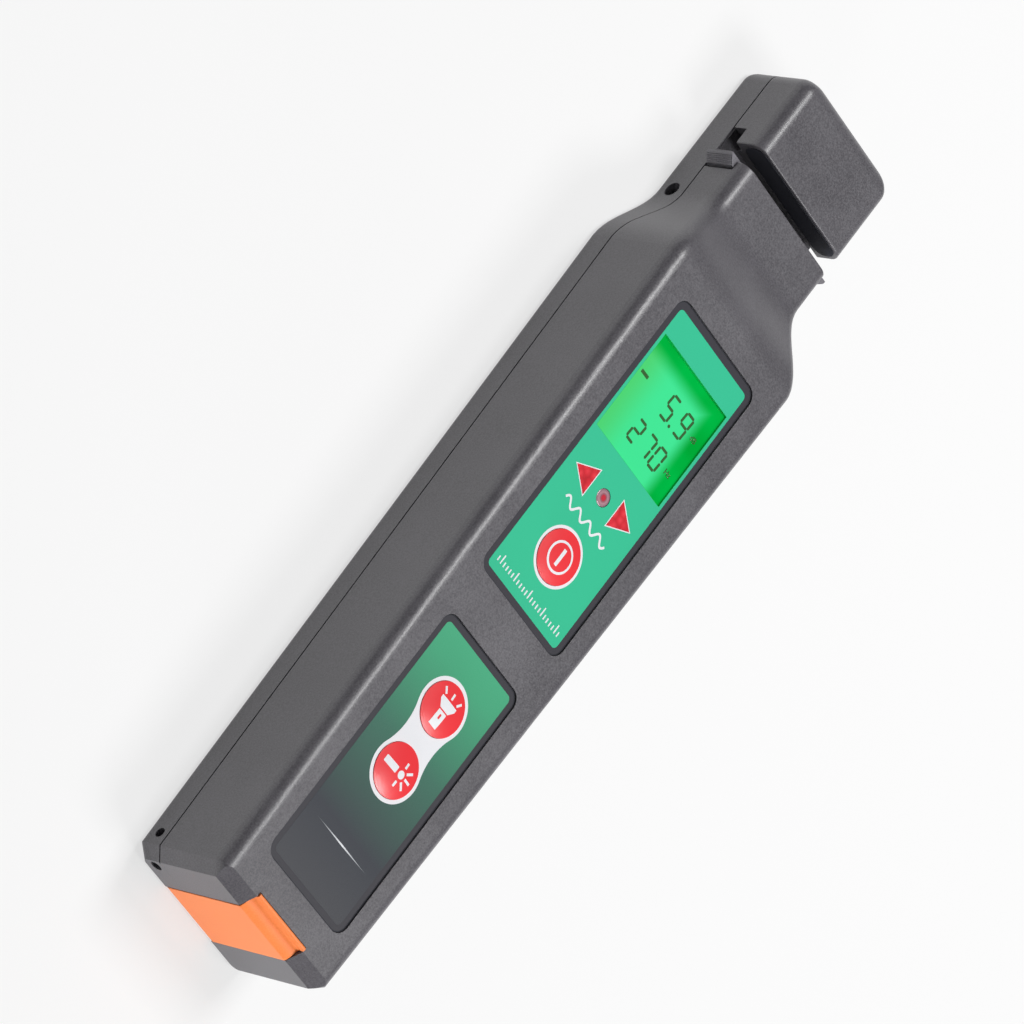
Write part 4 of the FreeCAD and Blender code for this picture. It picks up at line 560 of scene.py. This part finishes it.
def filled(loops):
    """Flat bmesh in millimetres that fills closed outlines, inner ones as holes."""
    curve = bpy.data.curves.new("outline", "CURVE")
    curve.dimensions = "2D"
    curve.fill_mode = "BOTH"
    for loop in loops:
        spline = curve.splines.new("POLY")
        spline.points.add(len(loop) - 1)
        for point, (x, y) in zip(spline.points, loop):
            point.co = (x, y, 0, 1)
        spline.use_cyclic_u = True
    return meshed(curve)


def divided(shape, longest):
    """Splits the long edges of a flat bmesh, so that it can follow a crowned surface."""
    for _ in range(SPLIT_ROUNDS):
        long_edges = [edge for edge in shape.edges if edge.calc_length() > longest]
        if not long_edges:
            break
        bmesh.ops.subdivide_edges(shape, edges=long_edges, cuts=1)
        bmesh.ops.triangulate(shape, faces=shape.faces[:])


def placed(shape, spot):
    """Takes each vertex of a flat bmesh to the spot in metres that a function gives for it."""
    for vert in shape.verts:
        vert.co = spot(vert.co.x, vert.co.y)


def thickened(shape, step):
    """Carries a copy of the faces of a flat bmesh along a step in metres, with walls between."""
    copied = bmesh.ops.extrude_face_region(shape, geom=shape.faces[:])["geom"]
    for item in copied:
        if isinstance(item, bmesh.types.BMVert):
            item.co += Vector(step)


def skinned(shape, rings):
    """Adds the faces between rings of vertices and at open ends; a ring of one vertex is a tip."""
    for lower, upper in zip(rings, rings[1:]):
        for step in range(max(len(lower), len(upper))):
            corners = []
            for ring, index in ((lower, step), (lower, step + 1), (upper, step + 1), (upper, step)):
                corner = ring[index % len(ring)]
                if corner not in corners:
                    corners.append(corner)
            shape.faces.new(corners)
    for ring in (rings[0], rings[-1]):
        if len(ring) > 1:
            shape.faces.new(ring)


def crown(node):
    """Height of a CAD node's upper surface as a function of the place, in metres."""
    mesh = nodes[node].data
    tree = BVHTree.FromPolygons([v.co for v in mesh.vertices], [p.vertices for p in mesh.polygons])
    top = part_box(node)[1].z + MM

    def height(x, y):
        return tree.ray_cast(Vector((x, y, top)), Vector((0, 0, -1)))[0].z

    return height


def laid(name, shape, height, paint, body, slot, layer=0, thick=PRINT):
    """Thin layer with the outline of a flat bmesh, on a flat height or a crowned surface."""

    def spot(x, y):
        x, y = x * MM, along_case(y)
        base = height(x, y) if callable(height) else height
        return x, y, base + layer * PRINT * MM

    placed(shape, spot)
    thickened(shape, (0, 0, thick * MM))
    return piece(name, shape, paint, body)


def printed(name, loops, height, paint, slot, **layer):
    """Thin layer of film or ink on the case, within closed outlines."""
    return laid(name, filled(loops), height, paint, "case", slot, **layer)


def recess_shadow_ring(name, node, height, slot):
    """Painted shadow: black ring at the joint between an overlay and its recess, standing for the shade
    that the recess wall casts.
    """
    left, lower, right, upper = extent(node)
    outer = rounded(left, lower, right, upper, OVERLAY_CORNER)
    inner = rounded(left + RECESS_SHADOW_WIDTH, lower + RECESS_SHADOW_WIDTH, right - RECESS_SHADOW_WIDTH, upper - RECESS_SHADOW_WIDTH, OVERLAY_CORNER - RECESS_SHADOW_WIDTH)
    return printed(name, [outer, inner], height, painted_shade_black, slot)


# Upper face
UPPER_FIELD = (-12.6, 82.2, 12.65, 148.25)
POWER_RIM = 6.2
ARROW_OUTER = ((10.3, 0.0), (4.2, 3.45), (4.2, -3.45))
ARROW_INNER = ((9.35, 0.0), (4.68, 2.62), (4.68, -2.62))
SIDES = {"left": -1, "right": 1}
GLASS_MARGIN = 1.2
WINDOW_CORNER = 0.15
WINDOW_EDGE = 0.06
WINDOW_DEPTH = PRINT + (UPPER_TOP - GLASS_TOP) / MM


def arrow_loop(corners, side):
    """Outline of an arrow on one side of the signal light."""
    return [(side * x, SIGNAL[1] + y) for x, y in corners]


def window_loop(inset=0.0):
    """Outline of the display window, drawn in by an inset."""
    left, lower, right, upper = extent("display_glass")
    edge = GLASS_MARGIN + inset
    return rounded(left + edge, lower + edge, right - edge, upper - edge, WINDOW_CORNER)


upper_loops = [rounded(*UPPER_FIELD, FIELD_CORNER), window_loop()]
upper_loops += [circle(*POWER, KEY_HOLE), circle(*SIGNAL, SIGNAL_HOLE)]
upper_loops += [arrow_loop(ARROW_INNER, side) for side in SIDES.values()]
printed("upper_field", upper_loops, UPPER_TOP, green_film, "upper_face")
# Painted reflection: the window's wall is lined in bright green, for the backlight seen in the edge of the
# glass
edge_loops = [window_loop(), window_loop(WINDOW_EDGE)]
printed("window_edge", edge_loops, GLASS_TOP, window_reflection_green, "upper_face", thick=WINDOW_DEPTH)
for label, side in SIDES.items():
    loops = [arrow_loop(ARROW_OUTER, side), arrow_loop(ARROW_INNER, side)]
    printed(f"arrow_outline_{label}", loops, UPPER_TOP, white_ink, "upper_face", layer=1)
rim_loops = [circle(*POWER, POWER_RIM), circle(*POWER, KEY_HOLE)]
printed("power_surround", rim_loops, UPPER_TOP, white_ink, "upper_face", layer=1)

# Signal light
LENS_STEM = 1.55
LENS_RADIUS = 1.82
STEM_DROP = 0.3
FLANGE_DROP = 0.12
DOME_DROP = 0.1
DOME_RISE = 0.2
DOME_STEPS = 8
LENS_SIDES = 48


def lens_profile():
    """Radius and height of the lens in metres, from the middle of its foot to the top of its dome."""
    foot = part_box("signal_light")[0].z
    run = [(0.0, foot), (LENS_STEM * MM, foot)]
    run += [(LENS_STEM * MM, UPPER_TOP - STEM_DROP * MM), (LENS_RADIUS * MM, UPPER_TOP - FLANGE_DROP * MM)]
    dome = UPPER_TOP - DOME_DROP * MM
    for step in range(1, DOME_STEPS):
        lean = math.pi / 2 * step / DOME_STEPS
        run.append((LENS_RADIUS * MM * math.cos(lean), dome + DOME_RISE * MM * math.sin(lean)))
    return run + [(0.0, dome + DOME_RISE * MM)]


def turned(profile, spot):
    """Round bmesh about an upright axis, from a profile that starts and ends on the axis."""
    shape = bmesh.new()
    rings = []
    for radius, z in profile:
        points = circle(spot[0] * MM, along_case(spot[1]), radius, LENS_SIDES if radius else 1)
        rings.append([shape.verts.new((x, y, z)) for x, y in points])
    skinned(shape, rings)
    return shape


lens = piece("signal_lens", turned(lens_profile(), SIGNAL), signal_lens("signal_lens"), "case")
smoothed(lens)
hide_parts("signal_light")

# Painted recess shadow, wave line and scale marks of the upper face
WAVE_Y = 103.9
WAVE_HEIGHT = 0.85
WAVE_LENGTH = 3.7
WAVE_STEP = 0.125
WAVE_STEPS = 59
WAVE_WIDTH = 0.5
MARKS = 11
MARK_Y = 84.2
MARK_HALF = 0.16
MARK_CORNER = 0.05
LONG_MARK = 2.0
SHORT_MARK = 1.1


def wave_point(x):
    """Point of the wave line."""
    return x, WAVE_Y + WAVE_HEIGHT * math.sin(2 * math.pi * x / WAVE_LENGTH)


def scale_mark(x):
    """Outline of one scale mark, longer at every fifth millimetre."""
    tall = SHORT_MARK if x % 5 else LONG_MARK
    return rounded(x - MARK_HALF, MARK_Y, x + MARK_HALF, MARK_Y + tall, MARK_CORNER)


# Painted shadow: black ring around the upper overlay for the recess wall's shade
recess_shadow_ring("upper_recess_shadow", "upper_overlay", UPPER_TOP, "upper_face")
wave = [wave_point(step * WAVE_STEP) for step in range(-WAVE_STEPS, WAVE_STEPS + 1)]
printed("signal_wave", [stroke(wave, WAVE_WIDTH)], UPPER_TOP, white_ink, "upper_face", layer=1)
marks = [scale_mark(x) for x in range(-MARKS, MARKS + 1)]
printed("scale_marks", marks, UPPER_TOP, white_ink, "upper_face", layer=1)

# Display figures: a row has its lower edge, its height and the left edge of each figure
BAR_ENDS = {
    "a": ((0, 1), (1, 1)),
    "b": ((1, 1), (1, 0.5)),
    "c": ((1, 0.5), (1, 0)),
    "d": ((0, 0), (1, 0)),
    "e": ((0, 0.5), (0, 0)),
    "f": ((0, 1), (0, 0.5)),
    "g": ((0, 0.5), (1, 0.5)),
}
FIGURE_BARS = {"0": "abcdef", "2": "abged", "5": "afgcd", "7": "abc", "9": "abcdfg"}
FIGURE_WIDTH = 3.0
FIGURE_LEAN = 0.05
BAR_WIDTH = 0.6
BAR_GAP = 0.08
BAR_POINT = 0.4 * BAR_WIDTH
LEVEL_ROW = (130.6, 5.8, (("5", -1.45), ("9", 3.65)))
TONE_ROW = (122.05, 5.3, (("2", -4.6), ("7", -0.3), ("0", 3.4)))
MINUS = (-10.8, 133.1, -8.4, 133.85)
MINUS_CORNER = 0.1
DECIMAL_POINT = (2.5, 130.95, 0.36)
UNIT_SIZE = 1.7
UNIT_WEIGHT = 0.03


def bar(start, end):
    """Six-cornered bar between two points, drawn back a little from both."""
    run = (Vector(end) - Vector(start)).normalized()
    first = Vector(start) + run * BAR_GAP
    last = Vector(end) - run * BAR_GAP
    side = Vector((-run.y, run.x)) * BAR_WIDTH / 2
    inner = run * BAR_POINT
    upper = [first + inner + side, last - inner + side]
    lower = [last - inner - side, first + inner - side]
    return [tuple(corner) for corner in [first, *upper, last, *lower]]


def figure(mark, left, low, height):
    """Bars of a seven-bar figure that leans a little to the right."""

    def spot(x, y):
        across = left + BAR_WIDTH / 2 + x * (FIGURE_WIDTH - BAR_WIDTH) + FIGURE_LEAN * y * height
        return across, low + BAR_WIDTH / 2 + y * (height - BAR_WIDTH)

    ends = [BAR_ENDS[name] for name in FIGURE_BARS[mark]]
    return [bar(spot(*start), spot(*end)) for start, end in ends]


def unit_mark(name, words, x, y):
    """Small unit on the display, its lower left corner at a place."""
    curve = bpy.data.curves.new(name, "FONT")
    curve.body = words
    curve.size = UNIT_SIZE
    curve.offset = UNIT_WEIGHT
    shape = meshed(curve)
    bmesh.ops.translate(shape, verts=shape.verts[:], vec=(x, y, 0))
    return laid(name, shape, GLASS_TOP, display_ink, "case", "display")


figures = [rounded(*MINUS, MINUS_CORNER), circle(*DECIMAL_POINT, 20)]
for low, height, row in (LEVEL_ROW, TONE_ROW):
    for mark, left in row:
        figures += figure(mark, left, low, height)
printed("display_figures", figures, GLASS_TOP, display_ink, "display")
unit_mark("level_unit", "dB", 8.2, 132.9)
unit_mark("tone_unit", "Hz", 8.1, 124.0)

# Lower face
LOWER_FIELD = (-11.45, 11.6, 11.45, 68.7)
WAIST = 4.87
SURROUND = 6.4
LINE_X = 0.6
LINE_Y = 22.6
LINE_REACH = 8.6
LINE_HALF = 0.18


def dog_bone():
    """Two round fields joined by a waist with hollow sides."""
    half = (TORCH[1] - LASER[1]) / 2
    middle = (TORCH[1] + LASER[1]) / 2
    hollow = (WAIST**2 + half**2 - SURROUND**2) / (2 * (SURROUND - WAIST))
    away = WAIST + hollow
    lean = math.degrees(math.atan2(half, away))
    loop = arc(0, TORCH[1], SURROUND, -lean, 180 + lean, 48)
    loop += arc(-away, middle, hollow, lean, -lean)[1:-1]
    loop += arc(0, LASER[1], SURROUND, 180 - lean, 360 + lean, 48)
    return loop + arc(away, middle, hollow, 180 + lean, 180 - lean)[1:-1]


key_loops = [circle(*TORCH, KEY_HOLE), circle(*LASER, KEY_HOLE)]
lower_loops = [rounded(*LOWER_FIELD, FIELD_CORNER), *key_loops]
printed("lower_field", lower_loops, LOWER_TOP, lower_film, "lower_face")
printed("key_surround", [dog_bone(), *key_loops], LOWER_TOP, white_ink, "lower_face", layer=1)
# Painted shadow: black ring around the lower overlay for the recess wall's shade
recess_shadow_ring("lower_recess_shadow", "lower_overlay", LOWER_TOP, "lower_face")
lozenge = [(-LINE_REACH, 0), (0, LINE_HALF), (LINE_REACH, 0), (0, -LINE_HALF)]
line_paint = fading_line("fading_line", LINE_X, LINE_REACH)
line_loops = [shifted(lozenge, LINE_X, LINE_Y)]
printed("face_line", line_loops, LOWER_TOP, line_paint, "lower_face", layer=1)

# Pictograms, drawn about the middle of each key
LONGEST_EDGE = 0.5
RAY_WIDTH = 0.5
BEAM_WIDTH = 0.55


def pictogram(word, middle, marks):
    """White marks on the crowned top of a key."""
    shape = filled([shifted(loop, *middle) for loop in marks])
    divided(shape, LONGEST_EDGE)
    return laid(f"{word}_pictogram", shape, crown(f"{word}_key"), white_ink, f"{word}_button", "key")


power_marks = [circle(0, 0, 3.34), circle(0, 0, 2.84), rounded(-0.42, -1.93, 0.42, 1.93, 0.12)]
pictogram("power", POWER, power_marks)

torch_rays = (((-2.75, 3.6), (-1.85, 2.45)), ((0.0, 3.85), (0.0, 2.45)), ((2.75, 3.6), (1.85, 2.45)))
torch_marks = [
    [(-2.4, 1.95), (-2.4, 1.2), (-1.28, -0.2), (1.28, -0.2), (2.4, 1.2), (2.4, 1.95)],
    rounded(-1.18, -4.0, 1.18, -0.5, 0.1),
    rounded(-0.26, -2.2, 0.26, -1.1, 0.2),
]
torch_marks += [stroke(ray, RAY_WIDTH) for ray in torch_rays]
pictogram("torch", TORCH, torch_marks)

laser_beams = (
    ((2.5, 0.0), (4.2, 0.0)),
    ((2.2, 0.95), (3.5, 2.05)),
    ((2.2, -0.95), (3.5, -2.05)),
    ((1.15, 1.5), (1.15, 2.75)),
    ((1.15, -1.5), (1.15, -2.75)),
)
laser_marks = [rounded(-4.1, -0.75, -0.3, 0.75, 0.2), circle(1.15, 0.0, 0.85, 32)]
laser_marks += [stroke(beam, BEAM_WIDTH) for beam in laser_beams]
pictogram("laser", LASER, laser_marks)

# End flap
FLAP_LOW, FLAP_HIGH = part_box("end_flap")
KNUCKLE = (1.8, 2.0)
KNUCKLE_RADIUS = 1.88
PIN_BORE = 0.68
FLAP_OUT = -0.1
FLAP_IN = 1.4
FLAP_FOOT = 5.0
BEND_DROP = 3.35
BEND_RADIUS = 0.5
INNER_DROP = 3.7
STRIP_END = (0.95, 0.55)
STRIP_HOLLOW = 0.66
STRIP_SKEW = 2.3
STRIP_STEPS = 18
LIP_BACK = 0.5
LIP_RADIUS = 0.45
LIP_FOOT = (0.05, 1.5)
FLAP_ROUNDING = 0.4
SHARP_ANGLE = 35


def flap_outline():
    """Side view of the flap, as y and z: knuckle, flat end, hollow sloped strip, lip and inner side."""
    top = FLAP_HIGH.z / MM
    reach = FLAP_HIGH.y / MM - END
    loop = arc(*KNUCKLE, KNUCKLE_RADIUS, 270, 180, 12)
    loop += arc(FLAP_OUT + BEND_RADIUS, top - BEND_DROP, BEND_RADIUS, 180, 141, 5)
    start = Vector(loop[-1])
    run = Vector((reach - STRIP_END[0], top - STRIP_END[1])) - start
    inward = Vector((run.y, -run.x)).normalized()
    for step in range(1, STRIP_STEPS + 1):
        share = step / STRIP_STEPS
        hollow = STRIP_HOLLOW * math.sin(math.pi * share**STRIP_SKEW)
        loop.append(tuple(start + run * share + inward * hollow))
    loop += arc(reach - LIP_BACK, top - LIP_RADIUS, LIP_RADIUS, 165, 0, 14)
    loop.append((reach - LIP_FOOT[0], top - LIP_FOOT[1]))
    loop += [(FLAP_IN, top - INNER_DROP), (FLAP_IN, FLAP_FOOT)]
    return loop + arc(*KNUCKLE, KNUCKLE_RADIUS, 45, -90, 14)[:-1]


def soften(made, width):
    """Rounds the sharp edges of a piece by a width in metres and shades it smoothly."""
    smoothed(made)
    edges = made.modifiers.new("edges", "BEVEL")
    edges.width = width
    edges.segments = 4
    edges.limit_method = "ANGLE"
    edges.angle_limit = math.radians(SHARP_ANGLE)
    edges.harden_normals = True


shape = filled([flap_outline(), circle(*KNUCKLE, PIN_BORE, 32)])
placed(shape, lambda y, z: (FLAP_LOW.x, along_case(y), z * MM))
thickened(shape, (FLAP_HIGH.x - FLAP_LOW.x, 0, 0))
flap = piece("flap_cover", shape, flap_orange, "flap")
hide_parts("end_flap")
soften(flap, FLAP_ROUNDING * MM)

# Ribs of the thumb lugs
LUG_LOW, LUG_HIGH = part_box("press_block")
LUG_FOOT = 1.6
RIBS = 6
RIB = 0.14
RIB_SINK = 0.02
RIB_STEPS = 6
RIB_MARGIN = 0.2


def ribbed(sign):
    """Row of half-round ribs across the sloped face of the lug on one side."""
    shape = bmesh.new()
    start = Vector((LUG_HIGH.x / MM - LUG_FOOT, LUG_LOW.y / MM))
    run = Vector((LUG_FOOT, LUG_FOOT))
    along = run.normalized()
    out = Vector((along.y, -along.x))
    for index in range(RIBS):
        middle = start + run * (index + 0.5) / RIBS
        section = []
        for step in range(RIB_STEPS + 1):
            turn = math.pi * step / RIB_STEPS
            section.append(middle + along * RIB * math.cos(turn) + out * (RIB * math.sin(turn) - RIB_SINK))
        rings = []
        for z in (LUG_LOW.z + RIB_MARGIN * MM, LUG_HIGH.z - RIB_MARGIN * MM):
            rings.append([shape.verts.new((sign * point.x * MM, point.y * MM, z)) for point in section])
        skinned(shape, rings)
    return shape


for label, side in SIDES.items():
    ribs = piece(f"lug_ribs_{label}", ribbed(side), slide, "clamp_slide")
    smoothed(ribs, sides=4)

# Painted shade: a black sheet on the slot's upper wall, where the neck shades it
HEAD_LOW, HEAD_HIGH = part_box("head_cover")
SHADE_SHEET = 0.15
SHADE_SHEET_HALF = 15.3
SHADE_SHEET_BACK = 6.0
SHADE_SHEET_FRONT = 0.55
SHADE_SHEET_CORNER = 2.3

front = HEAD_HIGH.z / MM
shade_outline = rounded(-SHADE_SHEET_HALF, front - SHADE_SHEET_BACK, SHADE_SHEET_HALF, front - SHADE_SHEET_FRONT, SHADE_SHEET_CORNER)
shape = filled([shade_outline])
placed(shape, lambda x, z: (x * MM, HEAD_LOW.y, z * MM))
thickened(shape, (0, -SHADE_SHEET * MM, 0))
piece("slot_shade_sheet", shape, painted_shade_black, "case")

# Return spring; its sizes are in metres
SPRING_WIRE = 0.5 * MM
SPRING_TURNS = 7
TURN_STEPS = 36
WIRE_SIDES = 12
spring_low, spring_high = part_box("return_spring")


def wound():
    """Coil of round wire along the case, in the place of the CAD spring."""
    shape = bmesh.new()
    middle = (spring_low + spring_high) / 2
    radius = (spring_high.x - spring_low.x - SPRING_WIRE) / 2
    pitch = (spring_high.y - spring_low.y - SPRING_WIRE) / SPRING_TURNS
    rings = []
    for step in range(SPRING_TURNS * TURN_STEPS + 1):
        turn = 2 * math.pi * step / TURN_STEPS
        out = Vector((math.cos(turn), 0, math.sin(turn)))
        along = Vector((-radius * math.sin(turn), pitch / (2 * math.pi), radius * math.cos(turn)))
        side = along.normalized().cross(out)
        y = spring_low.y + SPRING_WIRE / 2 + pitch * step / TURN_STEPS
        centre = Vector((middle.x, y, middle.z)) + out * radius
        section = circle(0, 0, SPRING_WIRE / 2, WIRE_SIDES)
        rings.append([shape.verts.new(centre + out * first + side * second) for first, second in section])
    skinned(shape, rings)
    return shape


spring = piece("wound_spring", wound(), steel, "case")
smoothed(spring, sides=4)
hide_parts("return_spring")
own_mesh(spring)


# Lights, with places and sizes in metres
def softbox(name, place, aim, size, power):
    """Rectangular lamp that faces a point."""
    lamp = bpy.data.lights.new(name, "AREA")
    lamp.shape = "RECTANGLE"
    lamp.size, lamp.size_y = size
    lamp.energy = power
    made = bpy.data.objects.new(name, lamp)
    bpy.context.scene.collection.objects.link(made)
    made.location = place
    made.rotation_euler = (Vector(aim) - Vector(place)).to_track_quat("-Z", "Y").to_euler()
    return made


def studio():
    """World that is white below the horizon and dim above it."""
    world = bpy.data.worlds.new("studio")
    world.use_nodes = True
    tree = world.node_tree
    place = tree.nodes.new("ShaderNodeTexCoord")
    axes = tree.nodes.new("ShaderNodeSeparateXYZ")
    level = tree.nodes.new("ShaderNodeMapRange")
    level.interpolation_type = "SMOOTHSTEP"
    set_inputs(level, From_Min=-0.05, From_Max=0.12, To_Min=1.0, To_Max=0.1)
    sky = tree.nodes["Background"]
    set_inputs(sky, Color=WHITE)
    tree.links.new(place.outputs["Generated"], axes.inputs["Vector"])
    tree.links.new(axes.outputs["Z"], level.inputs["Value"])
    tree.links.new(level.outputs["Result"], sky.inputs["Strength"])
    return world


softbox("top_box", place=(-0.02, 0.38, 0.93), aim=(0, 0, 0), size=(0.28, 0.45), power=6.2)
softbox("key_box", place=(0.5, -0.12, 0.86), aim=(0, 0, 0), size=(0.35, 0.35), power=3.9)
fill = softbox("end_fill", place=(0.6, -1.0, 0.07), aim=(0, -0.1, 0.01), size=(0.5, 0.12), power=9.0)
fill.visible_glossy = False
bpy.context.scene.world = studio()

# Floor
FLOOR_HALF = 6000
FLOOR_TONE = (0.86, 0.86, 0.86, 1.0)
FLOOR_GLOW = 0.65
UNDER = 1.9
FOOT_HALF = 18.65
FOOT_START = 2.3
SHOULDER = (155.2, 173.2)
HEAD_ROUNDING = 1.0


def footprint():
    """Outline of the case's rear face inside its rounded edges, in millimetres of the frame."""
    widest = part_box("rear_shell")[1]
    neck = HEAD_HIGH.x / MM - UNDER
    right = [
        (FOOT_HALF - UNDER, END + FOOT_START + UNDER),
        (widest.x / MM - UNDER, END + SHOULDER[0] - UNDER),
        (neck, END + SHOULDER[1]),
        (neck, widest.y / MM - UNDER - HEAD_ROUNDING),
    ]
    return right + [(-x, y) for x, y in right[::-1]]


def pale_card():
    """Pale card that shows nearly white in view and in reflections, and is clear from below."""
    paint = Paint("pale_card", Base_Color=FLOOR_TONE, Roughness=0.9, Specular_IOR_Level=0.1)
    path = paint.add("ShaderNodeLightPath").outputs
    seen = paint.sums("MAXIMUM", path["Is Camera Ray"], path["Is Glossy Ray"])
    seen = paint.sums("MAXIMUM", seen, path["Is Transmission Ray"])
    glow = paint.add("ShaderNodeEmission").outputs[0]
    upper = paint.blend(paint.sums("MULTIPLY", seen, FLOOR_GLOW), paint.shader.outputs[0], glow)
    clear = paint.add("ShaderNodeBsdfTransparent").outputs[0]
    below = paint.add("ShaderNodeNewGeometry").outputs["Backfacing"]
    card = paint.blend(below, upper, clear)
    paint.join(card, paint.tree.nodes["Material Output"].inputs["Surface"])
    return paint


corners = [(-1, -1), (1, -1), (1, 1), (-1, 1)]
shape = filled([[(x * FLOOR_HALF, y * FLOOR_HALF) for x, y in corners], footprint()])
placed(shape, lambda x, y: (x * MM, y * MM, 0))
for face in shape.faces:
    if face.normal.z < 0:
        face.normal_flip()
mesh = bpy.data.meshes.new("floor")
shape.to_mesh(mesh)
shape.free()
mesh.materials.append(pale_card().material)
floor = bpy.data.objects.new("floor", mesh)
bpy.context.scene.collection.objects.link(floor)

# Camera at the photograph's angle: its axes, the frame's origin seen from it in millimetres,
# and its focal length in picture widths
RIGHT = Vector((0.50487596, 0.56427377, 0.65321924))
DOWN = Vector((0.66623348, -0.73590046, 0.120762))
AWAY = Vector((0.54884717, 0.37422669, -0.74747653))
SHIFT = (-3.03024, -0.77955, 1445.86883)
FOCAL = 7500 / 1024
SENSOR = 36
FAR = 50

eye = bpy.data.cameras.new("camera")
eye.sensor_width = SENSOR
eye.lens = FOCAL * SENSOR
eye.clip_end = FAR
camera = bpy.data.objects.new("camera", eye)
bpy.context.scene.collection.objects.link(camera)
turn = Matrix((RIGHT, -DOWN, -AWAY)).transposed()
spot = -(RIGHT * SHIFT[0] + DOWN * SHIFT[1] + AWAY * SHIFT[2]) * MM
camera.matrix_world = Matrix.Translation(spot) @ turn.to_4x4()
bpy.context.scene.camera = camera
bpy.context.scene.view_settings.view_transform = "Standard"
